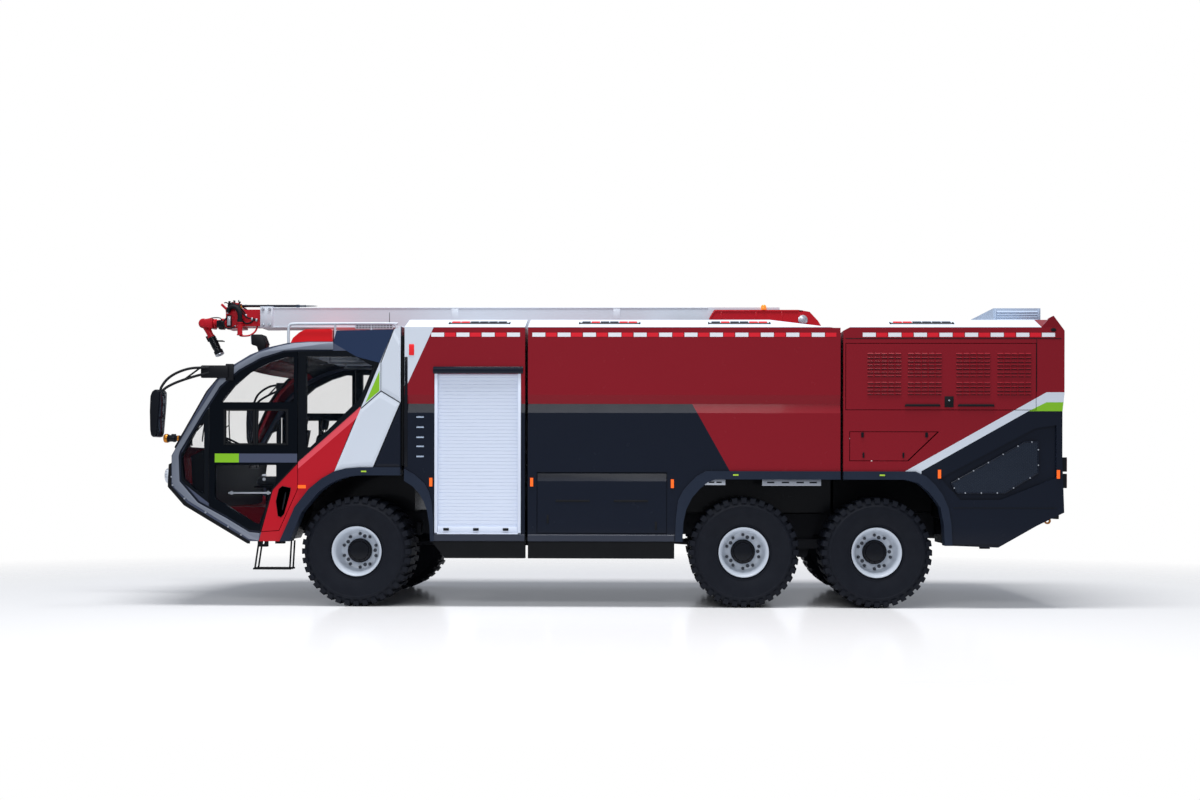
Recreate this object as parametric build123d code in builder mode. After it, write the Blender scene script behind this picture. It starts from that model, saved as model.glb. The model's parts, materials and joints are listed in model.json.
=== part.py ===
"""Six-wheel airport fire truck with a roof boom.

Millimetres. The model is drawn with X as the station behind the front axle, Y to the vehicle's right and Z up
from the ground. save() moves each piece to the stored frame, whose origin is on the ground at mid length.
"""

from build123d import *
from math import atan2, cos, hypot, radians, sin
import os

os.makedirs("parts", exist_ok=True)

# ---------------------------------------------------------------- driving dimensions
ORIGIN_STATION = 2873.0          # station of the stored frame's origin
HALF_WIDTH = 1500.0              # half the body's width
GAP = 8.0                        # clearance round each opening panel

# Running gear
TYRE_R = 675.0
TYRE_HALF_W = 300.0
WHEEL_Y = 1185.0                 # tyre's middle plane
FRONT_AXLE, REAR_AXLE_1, REAR_AXLE_2 = 0.0, 4755.0, 6378.0
KINGPIN_Y = 1000.0
RAIL_Y = 380.0                   # middle of a chassis rail
RAIL_W, RAIL_H, RAIL_BOTTOM = 80.0, 290.0, 850.0
RAIL_FRONT, RAIL_REAR = -1560.0, 8300.0
FRONT_EYE, REAR_EYE = -1490.0, 7950.0     # towing eyes under the rails
EYE_Z, EYE_R = 730.0, 30.0

# Cab
CAB_REAR = 549.0
CAB_WALL = 60.0
CAB_PLAN_X = 2400.0              # the cab's front is turned about a vertical axis at this station
CAB_FLOOR = RAIL_BOTTOM + RAIL_H + CAB_WALL
CHIN_BOTTOM = 800.0
ROOF_ARC_X, ROOF_ARC_Z, ROOF_ARC_R = -954.0, 1897.0, 1354.0
ROOF_STEPS = 6                   # flat steps that the roof's front curve is made in
CAB_ROOF = ROOF_ARC_Z + ROOF_ARC_R
SCREEN_TOP_DEG = 33.0            # end of the windscreen on the roof arc, from the vertical
SCREEN_HALF_DEG = 16.4           # half the windscreen's sweep in plan
GLASS_T = 12.0
GLASS_INSET = 10.0

# Body modules: stations of the ends
LOCKER_X = (598.0, 2075.0)
TANK_X = (2112.0, 5925.0)
ENGINE_X = (5961.0, 8640.0)
SILL = 807.0
ARCH_TOP = 1671.0                # top edge of the wheel-arch trims
SHOULDER_Z = 3430.0              # where the sides turn in to the roof
ROOF_Z = 3555.0
SHOULDER_Y = 1180.0
TROUGH_Y, TROUGH_Z = 1120.0, 3420.0   # deck between the roof's edges
GROOVE_Z, GROOVE_HALF, GROOVE_DEPTH = 2490.0, 110.0, 28.0
PANEL_T = 40.0
CHANNEL_Y = 470.0                # half width of the channel that clears the chassis
CHANNEL_Z = RAIL_BOTTOM + RAIL_H

# Boom
BOOM_Z, BOOM_H, BOOM_W, BOOM_WALL = 3705.0, 270.0, 320.0, 14.0
BOOM_FRONT, BOOM_REAR = -1600.0, 5300.0
BOOM_PIVOT, PIVOT_R = (5600.0, 3670.0), 40.0
TURRET_X = 5150.0
INNER_GAP, INNER_REAR = 10.0, 3400.0
HEAD_X = -1868.0
LANCE_PIVOT = (-1960.0, 3880.0)
MONITOR_PIVOT, MONITOR_AIM = (-2400.0, 3640.0), (0.44, 0, -0.9)
BUMPER_PIVOT = (-2640.0, 2100.0)


def save(part, name):
    """Labels a finished piece and writes it in the stored frame."""
    placed = part.moved(Location((-ORIGIN_STATION, 0, 0)))
    placed.label = name
    export_step(placed, f"parts/{name}.step")


def right_side(part):
    """The same piece on the other side of the vehicle."""
    return mirror(part, about=Plane.XZ, mode=Mode.PRIVATE)


def side_prism(points, y_low, y_high, inset=0.0):
    """A straight-edged outline in X and Z, from y_low to y_high, with its edges moved in by inset."""
    with BuildPart(mode=Mode.PRIVATE) as prism:
        with BuildSketch(Plane.XZ.offset(-y_low)):
            with BuildLine():
                Polyline(*points, close=True)
            make_face()
            if inset:
                offset(amount=-inset, kind=Kind.INTERSECTION, mode=Mode.REPLACE)
        extrude(amount=-(y_high - y_low))
    return prism.part


def cross_prism(points, x_low, x_high):
    """A straight-edged outline in Y and Z, from x_low to x_high."""
    with BuildPart(mode=Mode.PRIVATE) as prism:
        with BuildSketch(Plane.YZ.offset(x_low)):
            with BuildLine():
                Polyline(*points, close=True)
            make_face()
        extrude(amount=x_high - x_low)
    return prism.part


def block(x, y, z):
    """A box from three (low, high) pairs."""
    with BuildPart(mode=Mode.PRIVATE) as made:
        with Locations(((x[0] + x[1]) / 2, (y[0] + y[1]) / 2, (z[0] + z[1]) / 2)):
            Box(x[1] - x[0], y[1] - y[0], z[1] - z[0])
    return made.part


def lateral_rod(x, z, radius, y_low, y_high):
    """A round bar along Y."""
    with BuildPart(mode=Mode.PRIVATE) as rod:
        with BuildSketch(Plane.XZ.offset(-y_low)):
            with Locations((x, z)):
                Circle(radius)
        extrude(amount=-(y_high - y_low))
    return rod.part


def turned(section, sides, x=0.0, z=0.0):
    """A closed outline of (distance to the flats, reach along Y), turned round a lateral axis in flat steps."""
    grow = 1 / cos(radians(180 / sides))
    rings = []
    for step in range(sides):
        turn = radians(360 / sides * (step + 0.5))
        rings.append([Vector(x + r * grow * sin(turn), y, z - r * grow * cos(turn)) for r, y in section])
    faces = []
    for here, there in zip(rings, rings[1:] + rings[:1]):
        for i, (r, _) in enumerate(section):
            j = (i + 1) % len(section)
            corners = [here[i], here[j]]
            corners += [there[j]] if section[j][0] else []
            corners += [there[i]] if r else []
            if len(corners) > 2:
                faces.append(Face(Wire.make_polygon(corners)))
    return Solid(Shell(faces))


def flat_bar(plane, radius, reach, sides=12, tip=None):
    """A bar with flats along a plane's normal, tapered to tip where one is given."""
    with BuildPart(mode=Mode.PRIVATE) as bar:
        with BuildSketch(plane):
            RegularPolygon(radius, sides)
        if tip is None:
            extrude(amount=reach)
        else:
            with BuildSketch(plane.offset(reach)):
                RegularPolygon(tip, sides)
            loft()
    return bar.part


def lateral_bar(x, z, radius, y_low, y_high, sides=12):
    """A bar with flats along Y."""
    return flat_bar(Plane(origin=(x, y_low, z), x_dir=(1, 0, 0), z_dir=(0, 1, 0)), radius, y_high - y_low,
                    sides)


# ---------------------------------------------------------------- wheels
LUGS = 17                        # shoulder lugs on each side of a tyre
LUG_DEG = 13.5                   # sweep of a lug, out of 360 / LUGS
RIM_SIDES = 16

# (distance to the flats, distance from the middle plane) of half the tyre between its lugs, and of a lug
TYRE_HALF = [(272, 225), (430, 298), (560, TYRE_HALF_W), (646, 262), (646, 96)]
LUG_CORNERS = [(TYRE_R, 282), (TYRE_R, 96)]


def lugged_tyre():
    """The tyre, built face by face: wide steps that reach to the lugs' tops and narrow ones between them."""
    half = TYRE_HALF
    between = [*half, *[(r, -w) for r, w in reversed(half)]]
    lugged = [*half[:3], *LUG_CORNERS, half[4]]
    lugged = [*lugged, *[(r, -w) for r, w in reversed(lugged)]]
    wall = [half[2], *LUG_CORNERS, half[4], half[3]]
    grow = 1 / cos(radians(LUG_DEG / 2))
    half_lug = radians(LUG_DEG / 2)

    def corner(angle, point):
        return Vector(point[0] * grow * sin(angle), point[1], -point[0] * grow * cos(angle))

    faces = []
    for step in range(LUGS):
        middle, after = radians(360 / LUGS * step), radians(360 / LUGS * (step + 1))
        for section, start, end in ((lugged, middle - half_lug, middle + half_lug),
                                    (between, middle + half_lug, after - half_lug)):
            for a, b in zip(section, section[1:] + section[:1]):
                faces.append(Face(Wire.make_polygon([corner(start, a), corner(start, b), corner(end, b),
                                                     corner(end, a)])))
        for angle in (middle - half_lug, middle + half_lug):
            for flip in (1, -1):
                faces.append(Face(Wire.make_polygon([corner(angle, (r, w * flip)) for r, w in wall])))
    return Solid(Shell(faces))


tyre = lugged_tyre()

# (distance to the flats, distance outboard of the middle plane); the dish opens outboard
RIM = [
    (0, 22), (252, 22), (252, -230), (266, -230), (266, 226), (306, 262), (288, 264), (250, 215),
    (222, 72), (146, 58), (146, 98), (118, 118), (0, 118),
]
with BuildPart() as rim:
    add(turned(RIM, RIM_SIDES))

for end, station in (("front", FRONT_AXLE), ("mid", REAR_AXLE_1), ("rear", REAR_AXLE_2)):
    for side, y in (("left", -WHEEL_Y), ("right", WHEEL_Y)):
        place = Location((station, y, TYRE_R))
        save(tyre.moved(place), f"tyre_{end}_{side}")
        save((rim.part if y > 0 else right_side(rim.part)).moved(place), f"rim_{end}_{side}")

# ---------------------------------------------------------------- axles, knuckles, springs, frame
HUB_R, HUB_END = 110.0, WHEEL_Y + 20.0
TUBE_R = 95.0

DIFF_R = 165.0                   # differential housing
KINGPIN_R, KINGPIN_H = 70.0, 370.0
ARM_X, ARM_Z = 165.0, 566.0      # ball joint of the steering arm, and the arm's underside
TIE_ROD_Z, TIE_ROD_R, TIE_PIN_R = 545.0, 16.0, 11.0

AXLE_SIDES = 16

with BuildPart() as axle_beams:
    for station in (FRONT_AXLE, REAR_AXLE_1, REAR_AXLE_2):
        steered = station == FRONT_AXLE
        # half the housing: (distance to the flats, distance from the middle), its bulge round the gears first
        half = [(DIFF_R, 110), (TUBE_R, 230)]
        half += [(TUBE_R, KINGPIN_Y - 75)] if steered else [
            (TUBE_R, 900), (HUB_R + 20, 900), (HUB_R + 20, HUB_END)]
        half += [(0, half[-1][1])]
        add(turned([*half, *[(r, -y) for r, y in reversed(half)]], AXLE_SIDES, station, TYRE_R))
        for side in (-1, 1) if steered else ():
            fork_x = (-KINGPIN_R, KINGPIN_R)
            for low, high in ((450, 485), (865, 900)):
                add(block(fork_x, sorted((side * 860, side * 1060)), (low, high)))
            add(block(fork_x, sorted((side * 860, side * 920)), (450, 900)))
save(axle_beams.part, "axle_beams")

with BuildPart() as knuckle:
    with Locations((0, -KINGPIN_Y, TYRE_R)):
        Cylinder(KINGPIN_R, KINGPIN_H)
    add(turned([(0, -HUB_END), (HUB_R, -HUB_END), (HUB_R, -KINGPIN_Y), (0, -KINGPIN_Y)], AXLE_SIDES, 0, TYRE_R))
    add(block((0, ARM_X + 22), (-KINGPIN_Y - 22, -KINGPIN_Y + 22), (ARM_Z, ARM_Z + 34)))
    with Locations((ARM_X, -KINGPIN_Y, ARM_Z - 22)):
        Cylinder(TIE_PIN_R, 44)
save(knuckle.part, "knuckle_left")
save(right_side(knuckle.part), "knuckle_right")

with BuildPart() as tie_rod:
    add(lateral_bar(ARM_X, TIE_ROD_Z, TIE_ROD_R, -KINGPIN_Y, KINGPIN_Y, 8))
    with Locations(*[(ARM_X, y, TIE_ROD_Z) for y in (-KINGPIN_Y, KINGPIN_Y)]):
        Box(48, 48, 36)
        Cylinder(TIE_PIN_R + 0.08, 80, mode=Mode.SUBTRACT)
save(tie_rod.part, "tie_rod")

# Chassis: two rails and the crossmembers between them
with BuildPart() as chassis_frame:
    for side in (-1, 1):
        rail = sorted((side * (RAIL_Y - RAIL_W / 2), side * (RAIL_Y + RAIL_W / 2)))
        add(block((RAIL_FRONT, RAIL_REAR), rail, (RAIL_BOTTOM, RAIL_BOTTOM + RAIL_H)))
        for eye_x in (FRONT_EYE, REAR_EYE):
            add(block((eye_x - 60, eye_x + 60), rail, (EYE_Z - 60, RAIL_BOTTOM + 1)))
    for eye_x in (FRONT_EYE, REAR_EYE):
        add(lateral_rod(eye_x, EYE_Z, EYE_R, -RAIL_Y - RAIL_W, RAIL_Y + RAIL_W), mode=Mode.SUBTRACT)
    for station in (-1450, -650, 700, 1900, 3100, 4100, 5566, 6640, 8200):
        add(block((station - 50, station + 50), (-RAIL_Y, RAIL_Y),
                  (RAIL_BOTTOM + 60, RAIL_BOTTOM + RAIL_H - 40)))
save(chassis_frame.part, "chassis_frame")

BOGIE_X = (REAR_AXLE_1 + REAR_AXLE_2) / 2
SPRING_Y = (470.0, 560.0)
SPRING_SEAT = TYRE_R + TUBE_R    # top of the axle tubes
LEAF_T = 24.0

with BuildPart() as springs:
    for side in (-1, 1):
        leaf_y = sorted((side * SPRING_Y[0], side * SPRING_Y[1]))
        # front pack, longest leaf on top, hung from the frame at both ends
        for leaf in range(4):
            half, low = 290 + 110 * leaf, SPRING_SEAT + LEAF_T * leaf
            add(block((-half, half), leaf_y, (low, low + LEAF_T)))
        for station in (-595, 595):
            hanger_y = sorted((side * (RAIL_Y + RAIL_W / 2), side * SPRING_Y[1]))
            add(block((station - 25, station + 25), hanger_y, (SPRING_SEAT + 3 * LEAF_T, 1000)))
        # bogie: a trunnion plate on the frame, and one pack that reaches both rear axles
        plate = [(BOGIE_X - 230, 1120), (BOGIE_X + 230, 1120), (BOGIE_X + 60, 560), (BOGIE_X - 60, 560)]
        add(side_prism(plate, *sorted((side * (RAIL_Y + RAIL_W / 2), side * SPRING_Y[0]))))
        for leaf in range(5):
            half, low = REAR_AXLE_2 - BOGIE_X - 150 * leaf, SPRING_SEAT - LEAF_T * leaf
            add(block((BOGIE_X - half, BOGIE_X + half), leaf_y, (low, low + LEAF_T)))
save(springs.part, "leaf_springs")

with BuildPart() as engine:
    add(block((6690, 8150), (-330, 330), (900, 1160)))
    add(block((6700, 8050), (-420, 420), (1155, 2350)))
save(engine.part, "engine_block")

# ---------------------------------------------------------------- cab
# Outline of the cab's front on its centre line: (station, height)
CHIN = [(-1592, CHIN_BOTTOM), (-2324, 1270), (-2507, 1480), (-2507, 1850), (-2084, 2643)]


def cab_envelope(wall):
    """The cab's outside, or its inside at a given wall thickness. The nose is turned about a vertical axis."""
    behind = 2 * CAB_PLAN_X      # drawn behind the axis, so that the seam isn't on the windscreen
    with BuildPart(mode=Mode.PRIVATE) as envelope:
        with BuildSketch(Plane.XZ):
            with BuildLine():
                points = [(behind - x, z) for x, z in [(900, CHIN_BOTTOM), *CHIN]]
                whole = atan2(ROOF_ARC_X - CHIN[-1][0], CHIN[-1][1] - ROOF_ARC_Z)
                for step in range(1, ROOF_STEPS + 1):
                    turn = whole * (1 - step / ROOF_STEPS)
                    points.append((behind - ROOF_ARC_X + ROOF_ARC_R * sin(turn),
                                   ROOF_ARC_Z + ROOF_ARC_R * cos(turn)))
                Polyline(*points, (behind - 900, CAB_ROOF), close=True)
            make_face()
            if wall:
                offset(amount=-wall, kind=Kind.INTERSECTION, mode=Mode.REPLACE)
        revolve(axis=Axis((CAB_PLAN_X, 0, 0), (0, 0, 1)), revolution_arc=360)
        half = HALF_WIDTH - wall
        add(block((-3000, CAB_REAR - wall), (-half, half), (0, 4000)), mode=Mode.INTERSECT)
    return envelope.part


def roof_step(wall):
    """The raised equipment fairing over the rear of the cab."""
    outline = [(-278 + wall, 3000), (-278 + wall, CAB_ROOF), (-240 + wall, 3385 - wall), (470, 3400 - wall),
               (CAB_REAR - wall, 3440 - wall), (CAB_REAR - wall, 3000)]
    return side_prism(outline, -HALF_WIDTH + wall, HALF_WIDTH - wall)


# Trim edge over the front wheel, on the cab's side: (station, height)
CAB_ARCH = [(-933, 800), (-748, 1222), (-574, 1445), (-420, 1570), (-266, 1657), (-120, 1696), (43, 1710),
            (CAB_REAR, 1710)]
CAB_ARCH_IN = [(-809, 800), (-661, 1161), (-451, 1409), (-330, 1500), (-204, 1558), (-90, 1596), (43, 1611),
               (CAB_REAR, 1611)]
ARCH_INNER_Y = 570.0


def cab_arch(grow):
    """The space over a front wheel, under the cab, on both sides."""
    outline = [(x - grow, z + grow * 0.9) for x, z in CAB_ARCH[:-1]]
    outline += [(CAB_REAR + 50, 1710 + grow), (CAB_REAR + 50, 600), (-1000 - grow, 600)]
    with BuildPart(mode=Mode.PRIVATE) as space:
        add(side_prism(outline, -HALF_WIDTH - 10, -ARCH_INNER_Y + grow))
        mirror(about=Plane.XZ)
    return space.part


DOOR_EDGE = -1813.0
DOOR_REAR = -711.0
DOOR_OUTLINE = [(DOOR_EDGE, 1225), (DOOR_EDGE, 2460), (-1664, 2692), (-1441, 2891), (-1168, 3040), (-884, 3127),
                (DOOR_REAR, 3139), (DOOR_REAR, 1440), (-942, 928), (-1168, 912), (-1305, 922), (-1590, 1093)]
DOOR_WINDOW = [(-1660, 2506), (-1503, 2705), (-1310, 2872), (-1069, 2992), (-850, 3062), (-765, 3052),
               (-765, 2506)]
DOOR_SLIDERS = [((-1614, 1995), (-1255, 2407)), ((-1218, 1995), (-847, 2407))]
DOOR_LOWER = [(-1740, 1735), (-1740, 1330), (-1260, 1030), (-1190, 1010), (-1040, 1400), (-980, 1500),
              (-980, 1735)]
GRAB_POCKET = [(-948, 1441), (-905, 1478), (-797, 1456), (-812, 1375), (-880, 1135), (-920, 1092), (-958, 1110),
               (-982, 1290)]
QUARTER_WINDOW = [(-2148, 1835), (-2120, 1570), (-1990, 1440), (-1870, 1370), (-1870, 2250), (-1945, 2215)]
REAR_WINDOW = [(-612, 3065), (6, 3065), (210, 2945), (56, 2559), (-560, 1955), (-612, 1955)]


def rect(low, high):
    """The four corners of a rectangle from two opposite ones."""
    (x0, z0), (x1, z1) = low, high
    return [(x0, z0), (x1, z0), (x1, z1), (x0, z1)]


def screen_zone():
    """The part of the cab's nose that the windscreen fills."""
    top = radians(SCREEN_TOP_DEG)
    reach = [(ROOF_ARC_X - r * sin(top), ROOF_ARC_Z + r * cos(top))
             for r in (ROOF_ARC_R - 120, ROOF_ARC_R + 150)]
    outline = [(-2700, 1960), (-2330, 1960), (-2010, 2560), reach[0], reach[1], (-2400, 3150)]
    with BuildPart(mode=Mode.PRIVATE) as zone:
        with BuildSketch(Plane.XZ):
            with BuildLine():
                Polyline(*outline, close=True)
            make_face()
        revolve(axis=Axis((CAB_PLAN_X, 0, 0), (0, 0, 1)), revolution_arc=2 * SCREEN_HALF_DEG)
    return zone.part.rotate(Axis((CAB_PLAN_X, 0, 0), (0, 0, 1)), -SCREEN_HALF_DEG)


with BuildPart() as cab_inside:
    add(cab_envelope(CAB_WALL))
    add(roof_step(CAB_WALL))
    add(cab_arch(CAB_WALL), mode=Mode.SUBTRACT)
    add(block((-2600, CAB_REAR), (-800, 800), (600, CAB_FLOOR)), mode=Mode.SUBTRACT)

with BuildPart() as cab_shell:
    add(cab_envelope(0))
    add(roof_step(0))
    add(cab_arch(0), mode=Mode.SUBTRACT)
    add(cab_inside.part, mode=Mode.SUBTRACT)
    add(block((-1900, -1000), (-740, 740), (600, CAB_FLOOR - CAB_WALL)), mode=Mode.SUBTRACT)
    add(block((-1001, CAB_REAR + 10), (-ARCH_INNER_Y - 1, ARCH_INNER_Y + 1), (600, CAB_FLOOR - CAB_WALL)),
        mode=Mode.SUBTRACT)
    add(screen_zone(), mode=Mode.SUBTRACT)
    for outline in (DOOR_OUTLINE, QUARTER_WINDOW, REAR_WINDOW):
        hole = side_prism(outline, -HALF_WIDTH - 5, -HALF_WIDTH + CAB_WALL + 5)
        add(hole, mode=Mode.SUBTRACT)
        add(right_side(hole), mode=Mode.SUBTRACT)
save(cab_shell.part, "cab_shell")

with BuildPart() as cab_glazing:
    add(cab_envelope(GLASS_INSET))
    add(cab_envelope(GLASS_INSET + GLASS_T), mode=Mode.SUBTRACT)
    add(screen_zone(), mode=Mode.INTERSECT)
    for outline in (QUARTER_WINDOW, REAR_WINDOW):
        pane = side_prism(outline, -HALF_WIDTH + GLASS_INSET, -HALF_WIDTH + GLASS_INSET + GLASS_T)
        add(pane)
        add(right_side(pane))
save(cab_glazing.part, "cab_glazing")

DOOR_WINDOWS = (DOOR_WINDOW, DOOR_LOWER, *[rect(*corners) for corners in DOOR_SLIDERS])
OUTSIDE, INSIDE = -HALF_WIDTH, -HALF_WIDTH + CAB_WALL

# Doors: hinged at the outer corner of the front edge, which is bevelled so that it clears the jamb
with BuildPart() as door:
    add(side_prism(DOOR_OUTLINE, OUTSIDE, INSIDE, inset=GAP))
    with BuildSketch(Plane.XY):
        edge = DOOR_EDGE + GAP
        with BuildLine():
            Polyline((edge - 5, OUTSIDE - 5), (edge, OUTSIDE - 5), (edge, OUTSIDE),
                     (edge + CAB_WALL + 5, INSIDE + 5),
                     (edge - 5, INSIDE + 5), close=True)
        make_face()
    extrude(amount=4000, mode=Mode.SUBTRACT)
    for window in DOOR_WINDOWS:
        add(side_prism(window, OUTSIDE - 5, INSIDE + 5), mode=Mode.SUBTRACT)
    add(side_prism(GRAB_POCKET, OUTSIDE - 5, OUTSIDE + 34), mode=Mode.SUBTRACT)
with BuildPart() as door_glass:
    for window in DOOR_WINDOWS:
        add(side_prism(window, OUTSIDE + GLASS_INSET, OUTSIDE + GLASS_INSET + GLASS_T))
for made, name in ((door, "cab_door"), (door_glass, "door_glass")):
    save(made.part, f"{name}_left")
    save(right_side(made.part), f"{name}_right")

# Seats: cushion, back and headrest on a pedestal. (station, y, floor height)
with BuildPart() as seats:
    for x, y, floor in ((-1250, -520, CAB_FLOOR), (-1250, 520, CAB_FLOOR), (-60, -950, 1770), (-60, 950, 1770)):
        add(block((x - 130, x + 130), (y - 150, y + 150), (floor, floor + 260)))
        add(block((x - 260, x + 240), (y - 250, y + 250), (floor + 260, floor + 390)))
        for foot, top, rise, half in (((150, 240), (270, 370), (390, 1010), 240),
                                      ((285, 360), (310, 400), (1010, 1200), 130)):
            outline = [(x + foot[0], floor + rise[0]), (x + foot[1], floor + rise[0]),
                       (x + top[1], floor + rise[1]), (x + top[0], floor + rise[1])]
            add(side_prism(outline, y - half, y + half))
save(seats.part, "seats")

with BuildPart() as dashboard:
    add(side_prism([(-2130, CAB_FLOOR), (-1990, CAB_FLOOR), (-1900, 1850), (-1970, 1940), (-2160, 1850)],
                   -1150, 1150))
    add(cab_inside.part, mode=Mode.INTERSECT)
save(dashboard.part, "dashboard")

with BuildPart() as steering_wheel:
    with BuildSketch(Plane(origin=(-1800, -520, 2010), x_dir=(0, 1, 0), z_dir=(-0.5, 0, -0.866))):
        RegularPolygon(230, 20)
        RegularPolygon(200, 20, mode=Mode.SUBTRACT)
        Rectangle(410, 40)
        RegularPolygon(60, 8)
    extrude(amount=25)
    with BuildSketch(Plane(origin=(-1800, -520, 2010), x_dir=(0, 1, 0), z_dir=(-0.5, 0, -0.866))):
        RegularPolygon(30, 8)
    extrude(amount=300)
    add(dashboard.part, mode=Mode.SUBTRACT)
save(steering_wheel.part, "steering_wheel")

# Black under-run guard, turned with the nose
GUARD_T = 45.0
LAMP_Y, LAMP_Z, LAMP_R = (860.0, 1120.0), 1600.0, 95.0
GUARD = [(-2507, 1760), (-2542, 1740), (-2507 - GUARD_T, 1465), (-2362, 1238), (-1622, CHIN_BOTTOM - 30),
         (-1592, CHIN_BOTTOM - 30)]
with BuildPart() as guard:
    with BuildSketch(Plane.XZ):
        with BuildLine():
            Polyline(*[(2 * CAB_PLAN_X - x, z) for x, z in (*CHIN[:3], *GUARD)], close=True)
        make_face()
    revolve(axis=Axis((CAB_PLAN_X, 0, 0), (0, 0, 1)), revolution_arc=360)
    add(block((-3000, 0), (-HALF_WIDTH + 5, HALF_WIDTH - 5), (0, 2000)), mode=Mode.INTERSECT)
save(guard.part, "bumper_guard")


def nose_station(reach, y):
    """Station of the nose's face at y, where it reaches this far ahead on the centre line."""
    return CAB_PLAN_X - ((CAB_PLAN_X + reach) ** 2 - y * y) ** 0.5


WORK_LAMP = [(-1404, 3371), (-1270, 3371), (-1222, 3250), (-1250, 3130), (-1300, 3130), (-1330, 3230),
             (-1395, 3250)]
with BuildPart() as head_lamps:
    for y in (*LAMP_Y, *[-y for y in LAMP_Y]):
        face = nose_station(2507 + GUARD_T, y)
        add(flat_bar(Plane(origin=(face - 35, y, LAMP_Z), z_dir=(1, 0, 0)), LAMP_R, 70, 16))
    for y in (-1080, 1080):
        add(side_prism(WORK_LAMP, y - 75, y + 75))
    add(guard.part, mode=Mode.SUBTRACT)
    add(cab_envelope(0), mode=Mode.SUBTRACT)
save(head_lamps.part, "head_lamps")

# Mirrors: bracket on the pillar, two bent arms and the head
MIRROR_Y = (-1925.0, -1625.0)
MIRROR_HEAD = [(-2390, 2120), (-2390, 2590), (-2350, 2641), (-2265, 2641), (-2237, 2590), (-2247, 2110),
               (-2290, 2058), (-2355, 2058)]
with BuildPart() as mirror_left:
    add(block((-1850, -1530), (-HALF_WIDTH - 55, -HALF_WIDTH), (2850, 2960)))
    for drop, end_z in ((0, 2600), (80, 2400)):
        start = (-1830, -HALF_WIDTH - 30, 2930 - drop)
        with BuildLine() as arm:
            Polyline(start, (-2040, -1640, 2905 - drop), (-2225, -1720, 2790 - drop), (-2310, -1770, end_z))
        with BuildSketch(Plane(origin=start, z_dir=arm.line % 0)):
            RegularPolygon(17, 8)
        sweep(transition=Transition.RIGHT)
    add(side_prism(MIRROR_HEAD, *MIRROR_Y))
with BuildPart() as mirrors:
    add(mirror_left.part)
    mirror(about=Plane.XZ)
save(mirrors.part, "mirrors")

BEACON = [(-917, CAB_ROOF), (-880, 3330), (-800, 3400), (-720, 3440), (-400, 3445), (-386, 3430),
          (-386, CAB_ROOF)]
with BuildPart() as beacon:
    add(side_prism(BEACON, -1150, 1150))
save(beacon.part, "roof_beacon")

with BuildPart() as rails:
    for y in (-1330.0, 1330.0):
        add(block((-900, 480), (y - 18, y + 18), (3470, 3506)))
        for x in (-880, -300, 150, 450):
            add(block((x - 14, x + 14), (y - 14, y + 14), (CAB_ROOF - 40, 3470)))
    add(cab_shell.part, mode=Mode.SUBTRACT)
    add(cab_inside.part, mode=Mode.SUBTRACT)
save(rails.part, "roof_rails")

with BuildPart() as steps:
    for side in (-1, 1):
        for top, foot in (((-1218, 800), (-1267, 470)), ((-815, 800), (-834, 470))):
            arm = [(top[0] - 18, top[1]), (top[0] + 18, top[1]), (foot[0] + 18, foot[1]),
                   (foot[0] - 18, foot[1])]
            add(side_prism(arm, *sorted((side * 1400, side * 1425))))
        add(block((-1290, -810), sorted((side * 1250, side * 1440)), (445, 470)))
save(steps.part, "entry_steps")


# ---------------------------------------------------------------- body modules
def body_section(x_range, trough, groove, deck_only=False):
    """The body's cross-section, drawn along X, up to the roof or only up to the deck between its edges."""
    half = [(HALF_WIDTH, 600), (HALF_WIDTH, GROOVE_Z - GROOVE_HALF)]
    if groove:
        half += [(HALF_WIDTH - GROOVE_DEPTH, GROOVE_Z), (HALF_WIDTH, GROOVE_Z + GROOVE_HALF)]
    half += [(HALF_WIDTH, TROUGH_Z)] if deck_only else [(HALF_WIDTH, SHOULDER_Z), (SHOULDER_Y, ROOF_Z)]
    if trough and not deck_only:
        half += [(TROUGH_Y, ROOF_Z), (TROUGH_Y, TROUGH_Z)]
    with BuildPart(mode=Mode.PRIVATE) as section:
        with BuildSketch(Plane.YZ.offset(x_range[0])):
            with BuildLine():
                Polyline(*half, *[(-y, z) for y, z in reversed(half)], close=True)
            make_face()
        extrude(amount=x_range[1] - x_range[0])
    return section.part


def both_sides(part):
    """The piece and its mirror image."""
    with BuildPart(mode=Mode.PRIVATE) as pair:
        add(part)
        mirror(about=Plane.XZ)
    return pair.part


LOCKER_ARCH = [(LOCKER_X[0], 1690), (720, 1625), (845, 1514), (905, 1405), (935, 1293), (955, 1090),
               (962, SILL)]
LOCKER_ARCH_IN = [(LOCKER_X[0], 1545), (700, 1480), (783, 1390), (842, 1290), (882, 1169), (910, 1000),
                  (919, SILL)]
SHUTTER = ((968, 893), (2026, 2857))
SHUTTER_T = 24.0
VENT_X, VENT_Z = (742, 838), (1845, 1969, 2080, 2204, 2328)     # slots ahead of the shutter

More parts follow.
